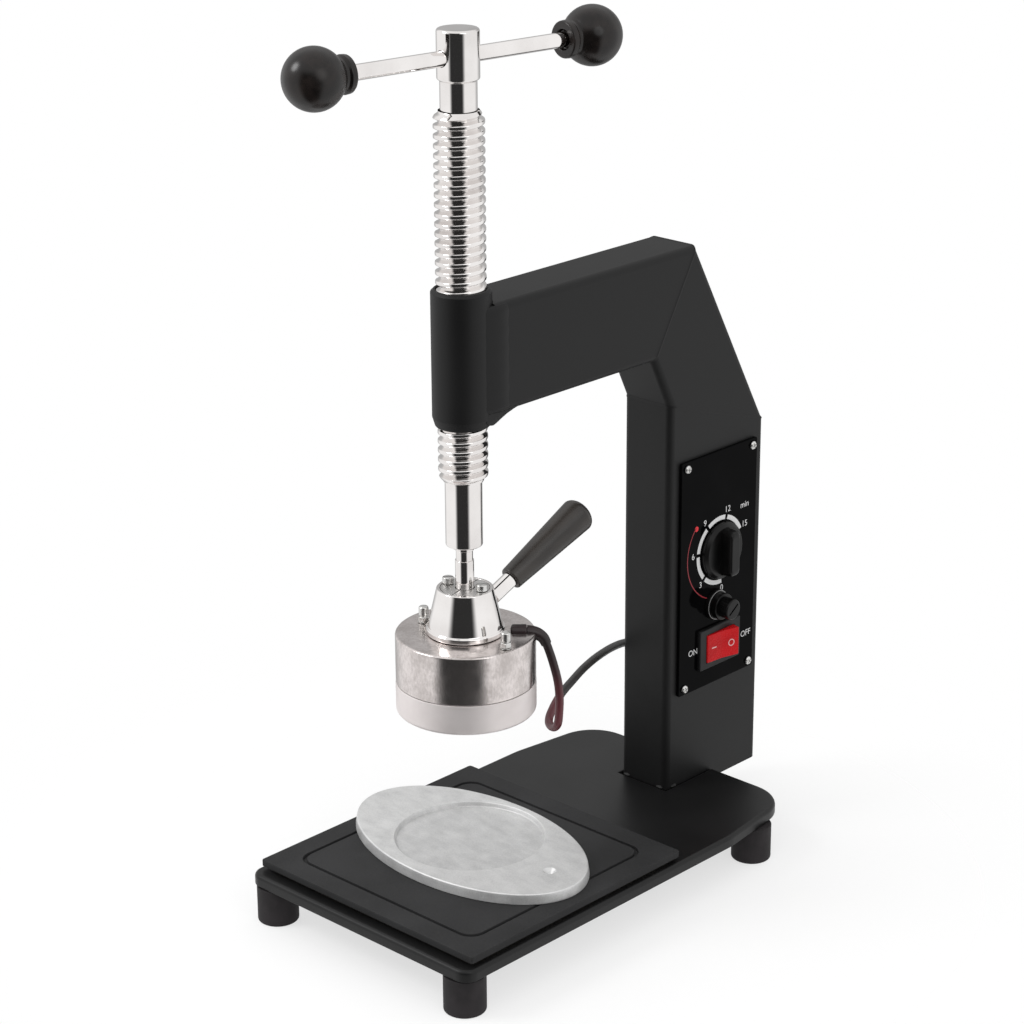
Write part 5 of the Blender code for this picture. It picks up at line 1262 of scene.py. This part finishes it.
sheet = plate(box_outline(0.08, 0.17, 0.0014), -0.002, 0.0, 0.0004, 0.0002)
add_piece("panel_plate", sheet, "gloss_panel", "stand", ["control_panel"], PANEL_PLACE)
for i, corner in enumerate(("lower_front", "lower_rear", "upper_front", "upper_rear")):
    node = "panel_screw_" + corner
    add_screw(node, "stand", PANEL_SCREW, panel_spot(*on_panel(node), GAP), 15 + 31 * i)
print("panel face at x", round(FACE, 4))

# %% [markdown]
# Marks are thin solids a few hundredths of a millimetre proud, like real screen print. The
# dial's numbers stand every 50 degrees, clockwise from the bottom.

# %% Ink, arcs and words
INK = 0.00004
DIAL_START = 275
DIAL_STEP = 50
RING_INNER = 0.0217
RING_OUTER = 0.0249
LABEL_RADIUS = 0.0288
ARC_GAP = 3
LETTER_SIZE = 0.0062
dial_u, dial_v = on_panel("timer_knob")
DIAL = panel_spot(dial_u, dial_v)


def arc_band(inner, outer, start, end):
    steps = max(6, round(abs(end - start) / 2))
    return plate(arc(outer, start, end, steps) + arc(inner, end, start, steps), -INK, INK)


def add_print(name, shape, place, ink="white_ink", body="stand"):
    add_piece(name, shape, ink, body, (), place)


def add_words(name, words, place):
    curve = bpy.data.curves.new(name, 'FONT')
    curve.body = words
    curve.size = LETTER_SIZE
    curve.extrude = INK
    curve.align_x = 'CENTER'
    curve.align_y = 'CENTER'
    letters = bpy.data.objects.new(name, curve)
    bpy.context.scene.collection.objects.link(letters)
    bpy.context.view_layer.update()
    shape = bmesh.new()
    shape.from_mesh(letters.to_mesh())
    bpy.data.objects.remove(letters)
    add_print(name, shape, place)


print("dial centre", round(dial_u, 4), round(dial_v, 4))

# %% [markdown]
# The ring is five white arcs with small gaps, one number stands at each end of an arc, and a
# thin red arc outside them marks the range in use. ON and OFF stand beside the switch.

# %% Printed marks
NUMBERS = ("0", "3", "6", "9", "12", "15")
RED_ARC = (0.0342, 0.035, 139, 272)
LAST_ARC = len(NUMBERS) - 2
for i in range(LAST_ARC + 1):
    start = DIAL_START - DIAL_STEP * i - (ARC_GAP if i else 0)
    end = DIAL_START - DIAL_STEP * (i + 1) + (ARC_GAP if i < LAST_ARC else 0)
    add_print("dial_arc_%d" % i, arc_band(RING_INNER, RING_OUTER, start, end), DIAL)
for i, number in enumerate(NUMBERS):
    a = math.radians(DIAL_START - DIAL_STEP * i)
    add_words("dial_number_" + number, number,
              DIAL @ lift(LABEL_RADIUS * math.cos(a), LABEL_RADIUS * math.sin(a)))
add_words("dial_unit", "min", DIAL @ lift(0.0258, 0.0264))
add_print("dial_red_arc", arc_band(*RED_ARC), DIAL, "red_ink")
add_print("dial_red_dot", arc_band(0.0001, 0.0019, 0, 358), DIAL @ lift(-0.0254, 0.022),
          "bright_red_ink")
switch_u, switch_v = on_panel("switch_body")
add_words("switch_on", "ON", panel_spot(switch_u - 0.0262, switch_v + 0.0003))
add_words("switch_off", "OFF", panel_spot(switch_u + 0.031, switch_v - 0.0022))
print("switch centre", round(switch_u, 4), round(switch_v, 4))

# %% [markdown]
# ## Knob, fuse and switch
# These are bought parts in gloss phenolic and plastic. The knob is a skirt with a finger bar
# across it, which draws in towards its top like any moulding that has to leave its mould.

# %% Timer knob
skirt = turned([
    (0, GAP), (0.0203, GAP, 0.0004), (0.0203, 0.003, 0.0008), (0.0178, 0.005, 0.001),
    (0, 0.005)], 96)
FINGER_FOOT = (0.0105, 0.035, 0.0034)
# The finger bar's width as a share of its foot's, and height
BAR_RINGS = ((1, 0.0025), (0.93, 0.0098), (0.89, 0.0126), (0.84, 0.0136), (0.75, 0.0142),
             (0.6, 0.0143))
wide, long, corner = FINGER_FOOT
finger_bar = loft([level(box_outline(wide * share, long * (1 - (1 - share) * 0.8),
                                     corner * share), z) for share, z in BAR_RINGS])
for name, shape in (("skirt", skirt), ("bar", finger_bar)):
    add_piece("timer_knob_" + name, shape, "knob_bakelite", "timer_knob", ["timer_knob"], DIAL)
print("knob height", BAR_RINGS[-1][1])

# %% [markdown]
# The fuse holder is a flanged sleeve. Its cap has a screwdriver slot and twenty fine grooves,
# and it carries the glass fuse with its two ferrules when it is drawn out.

# %% Fuse holder, cap and fuse
CAP_GROOVES = 20
FERRULE = 0.0055
FUSE = panel_spot(*on_panel("fuse_holder"))
add_piece("fuse_holder_moulded", turned([
    (0, -0.0243), (0.0056, -0.0243), (0.0056, 0.0088, 0.0003), (0.0094, 0.0088, 0.0007),
    (0.0096, 0.0033), (0.0108, 0.0033, 0.0007), (0.0108, GAP, 0.0002), (0.0072, GAP),
    (0.0072, -0.0273), (0, -0.0273)], 64), "knob_bakelite", "stand", ["fuse_holder"], FUSE)
# A pale grey ring on the flange's outer edge: a painted highlight, not a part or print.
add_piece("fuse_flange_painted_highlight", turned([
    (0.01, 0.0033), (0.01, 0.00336), (0.0104, 0.00336), (0.0104, 0.0033)], 64, True),
    "painted_highlight_grey", "stand", (), FUSE)
cap = add_piece("fuse_cap_moulded", turned([
    (0, 0.0171), (0.0073, 0.0171, 0.001), (0.0073, 0.0091, 0.0003), (0.005, 0.0091),
    (0.005, 0.0041), (0, 0.0041)], 64), "knob_bakelite", "fuse_cap", ["fuse_cap"], FUSE)
carve(cap, moved(plate(box_outline(0.0108, 0.0014, 0.0003, 2), 0.0155, 0.019), turn(35, 'Z')),
      *(moved(plate(box_outline(0.0009, 0.0009, 0.0003, 2), 0.0098, 0.015),
              turn(360 / CAP_GROOVES * i, 'Z') @ lift(0.0075)) for i in range(CAP_GROOVES)))
fuse_low, fuse_high = (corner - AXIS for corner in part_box("fuse_link"))
fuse_start, fuse_end = fuse_low.x - FACE, fuse_high.x - FACE
add_piece("fuse_tube", turned([
    (0, fuse_start), (0.0024, fuse_start), (0.0024, fuse_end), (0, fuse_end)], 40),
    "fuse_glass", "fuse_cap", ["fuse_link"], FUSE)
for name, low in (("fuse_ferrule_back", fuse_start),
                  ("fuse_ferrule_front", fuse_end - FERRULE)):
    add_piece(name, turned([
        (0, low), (0.0026, low, 0.0004), (0.0026, low + FERRULE, 0.0004), (0, low + FERRULE)],
        40), "zinc_steel", "fuse_cap", (), FUSE)
print("fuse", round(fuse_end - fuse_start, 4), "long")

# %% [markdown]
# The rocker's two faces meet in a shallow valley, so one end always stands proud and shows its
# side. Its marks lie on those sloping faces: a dash for on, a ring for off.

# %% Rocker switch
SWITCH = panel_spot(switch_u, switch_v)
# Long side, short side, corner, height
BEZEL_RINGS = ((0.038, 0.0256, 0.001, -0.0223), (0.038, 0.0256, 0.001, GAP),
               (0.0436, 0.03, 0.0014, GAP), (0.0436, 0.03, 0.0014, 0.0018),
               (0.043, 0.0294, 0.0012, 0.0025), (0.042, 0.0284, 0.001, 0.0029))
bezel = add_piece("switch_housing",
                  loft([level(box_outline(*ring), z) for *ring, z in BEZEL_RINGS]),
                  "black_plastic", "stand", ["switch_body"], SWITCH)
carve(bezel, plate(box_outline(0.0305, 0.0211, 0.0006, 3), -0.0076, 0.006))
ROCKER_PIVOT = 0.0019
ROCKER_REST = -10
ROCKER = SWITCH @ lift(z=ROCKER_PIVOT) @ turn(ROCKER_REST, 'Y')
ROCKER_HALF = 0.0143
VALLEY = 0.003
FACE_RISE = 0.0014
rocker_tip = (ROCKER_HALF, VALLEY + FACE_RISE, 0.0008)
half_side = [(0.0079, -0.005, 0.001), (ROCKER_HALF, -0.0026, 0.001), rocker_tip]
rocker_side = rounded([
    *half_side, (0.0, VALLEY, 0.03),
    *((-x, z, radius) for x, z, radius in reversed(half_side))], 5)
rocker = moved(plate(rocker_side, -0.0102, 0.0102, 0.0006, 0.0006), turn(90, 'X'))
add_piece("rocker_moulded", rocker, "red_plastic", "power_rocker", ["power_rocker"], ROCKER)
FACE_SLOPE = math.degrees(math.atan2(FACE_RISE, ROCKER_HALF))
MARK_AT = 0.0078
mark_height = VALLEY + FACE_RISE * MARK_AT / ROCKER_HALF
dash_place = ROCKER @ lift(-MARK_AT, 0, mark_height) @ turn(FACE_SLOPE, 'Y')
ring_place = ROCKER @ lift(MARK_AT, 0, mark_height) @ turn(-FACE_SLOPE, 'Y')
add_print("rocker_dash", plate(box_outline(0.0044, 0.0009, 0.0002, 2), -INK, INK),
          dash_place, "pink_ink", "power_rocker")
add_print("rocker_ring", arc_band(0.0019, 0.0026, 0, 359.9), ring_place, "pink_ink",
          "power_rocker")
print("rocker slope", round(FACE_SLOPE, 2))

# %% [markdown]
# ## Pieces that stay as solids
# Inside and under the machine the plain solids have the right shape already, so they only get
# their finishes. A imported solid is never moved; only its material slots change.

# %% Finish the inner solids
INNER = {"work_plate_pad": "heat_board", "thrust_pad": "bronze", "cone_nut": "zinc_steel",
         "heating_element": "mica", "insulation_disc": "heat_board",
         "thermostat": "bare_steel", "terminal_block": "bakelite", "timer_body": "bare_steel",
         "fuse_nut": "zinc_steel"}
for node, slot in INNER.items():
    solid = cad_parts[node]
    for index in range(len(solid.material_slots)):
        solid.material_slots[index].link = 'OBJECT'
        solid.material_slots[index].material = FINISHES[slot]
left_plain = [name for name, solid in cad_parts.items()
              if not solid.hide_render and name not in INNER]
print("solids without a finish", left_plain)

# %% [markdown]
# ## Studio
# The floor is a pale disc that fades out, so that it holds the soft shadow and then gives way
# to white. It glows a little for the rays that look at it or mirror it, but lights nothing.

# %% Floor
FLOOR_RADIUS = 0.5
FLOOR_GREY = 0.34
FLOOR_GLOW = 0.66
FADE = (0.16, 0.42)


def ray_kinds(start):
    """1 for a camera ray, for a mirrored one and for one that passed through glass."""
    return start.outputs("LightPath", ["Is Camera Ray", "Is Glossy Ray", "Is Transmission Ray"])


material = bpy.data.materials.new("pale_floor")
material.use_nodes = True
material.node_tree.nodes.clear()
start = Wire(material.node_tree)
x, y, z = own_axes(start)
fade = ((x * x + y * y) ** 0.5).step(*FADE)
seen, mirrored, through = ray_kinds(start)
matt = start.node("BsdfDiffuse", inputs={"Color": (FLOOR_GREY, FLOOR_GREY, FLOOR_GREY, 1)})
glow = start.node("Emission", inputs={"Strength": (seen + mirrored + through) * FLOOR_GLOW})
pale = start.node("AddShader", inputs={0: matt, 1: glow})
mixed = start.node("MixShader", inputs={0: fade, 1: pale, 2: start.node("BsdfTransparent")})
surface = start.tree.nodes.new("ShaderNodeOutputMaterial").inputs["Surface"]
start.tree.links.new(mixed.socket, surface)
FINISHES["pale_floor"] = material
loose_object("pale_floor", turned([(0, 0), (FLOOR_RADIUS, 0)]), "pale_floor")
print("floor radius", FLOOR_RADIUS)

# %% [markdown]
# Chrome shows the room, so the room is designed: white all round, with one tall dark band
# beside the camera that draws the black stripe down every cylinder, and a paler one opposite.
# Both stop short of the ceiling. The camera itself sees plain white.

# %% Surroundings
BAND_YAW = math.radians(-54)
BAND_EDGES = (0.66, 0.88)
BAND_DARK = 0.97
BEHIND_EDGES = (0.5, 0.95)
BEHIND_DARK = 0.52
CEILING = (0.35, 0.7)
ROOM_LEVEL = 0.68
NEVER_ZERO = 0.0001
world = bpy.data.worlds.new("studio")
bpy.context.scene.world = world
world.use_nodes = True
start = Wire(world.node_tree)
generated = start.node("TexCoord", output="Generated")
x, y, z = start.outputs("SeparateXYZ", range(3), {0: generated})
flat = (x * x + y * y + NEVER_ZERO) ** 0.5
facing = (x * math.cos(BAND_YAW) + y * math.sin(BAND_YAW)) / flat
below = 1.0 - z.step(*CEILING)
band = facing.step(*BAND_EDGES) * below
behind = (0.0 - facing).step(*BEHIND_EDGES) * below
reflection = (1.0 - band * BAND_DARK) * (1.0 - behind * BEHIND_DARK)
seen, mirrored, through = ray_kinds(start)
direct = seen + through
room_light = z.step(-0.4, 0.8) * 0.25 + ROOM_LEVEL
strength = direct + mirrored * reflection + (1.0 - direct - mirrored) * room_light
background = world.node_tree.nodes["Background"]
world.node_tree.links.new(strength.socket, background.inputs["Strength"])
background.inputs["Color"].default_value = (1, 1, 1, 1)
print("dark band at", round(math.degrees(BAND_YAW)), "degrees")

# %% [markdown]
# Two broad disc lamps, from the upper left and from the right, put the soft highlights on the
# dark parts. Both aim at the middle of the machine.

# %% Lamps
AIM = Vector((0, 0.06, 0.28))
# Name, place from the axis, size, power
LAMPS = (("key", (-0.95, -1.15, 1.55), 0.7, 10.5), ("fill", (1.7, -0.55, 1.35), 1.2, 4.0))
for name, spot, size, power in LAMPS:
    data = bpy.data.lights.new(name, 'AREA')
    data.shape = 'DISK'
    data.size = size
    data.energy = power
    lamp = bpy.data.objects.new(name, data)
    bpy.context.scene.collection.objects.link(lamp)
    lamp.location = AXIS + Vector(spot)
    lamp.rotation_euler = (AXIS + AIM - lamp.location).to_track_quat('-Z', 'Y').to_euler()
bpy.context.scene.view_settings.view_transform = 'Standard'
print("lamps", len(LAMPS))
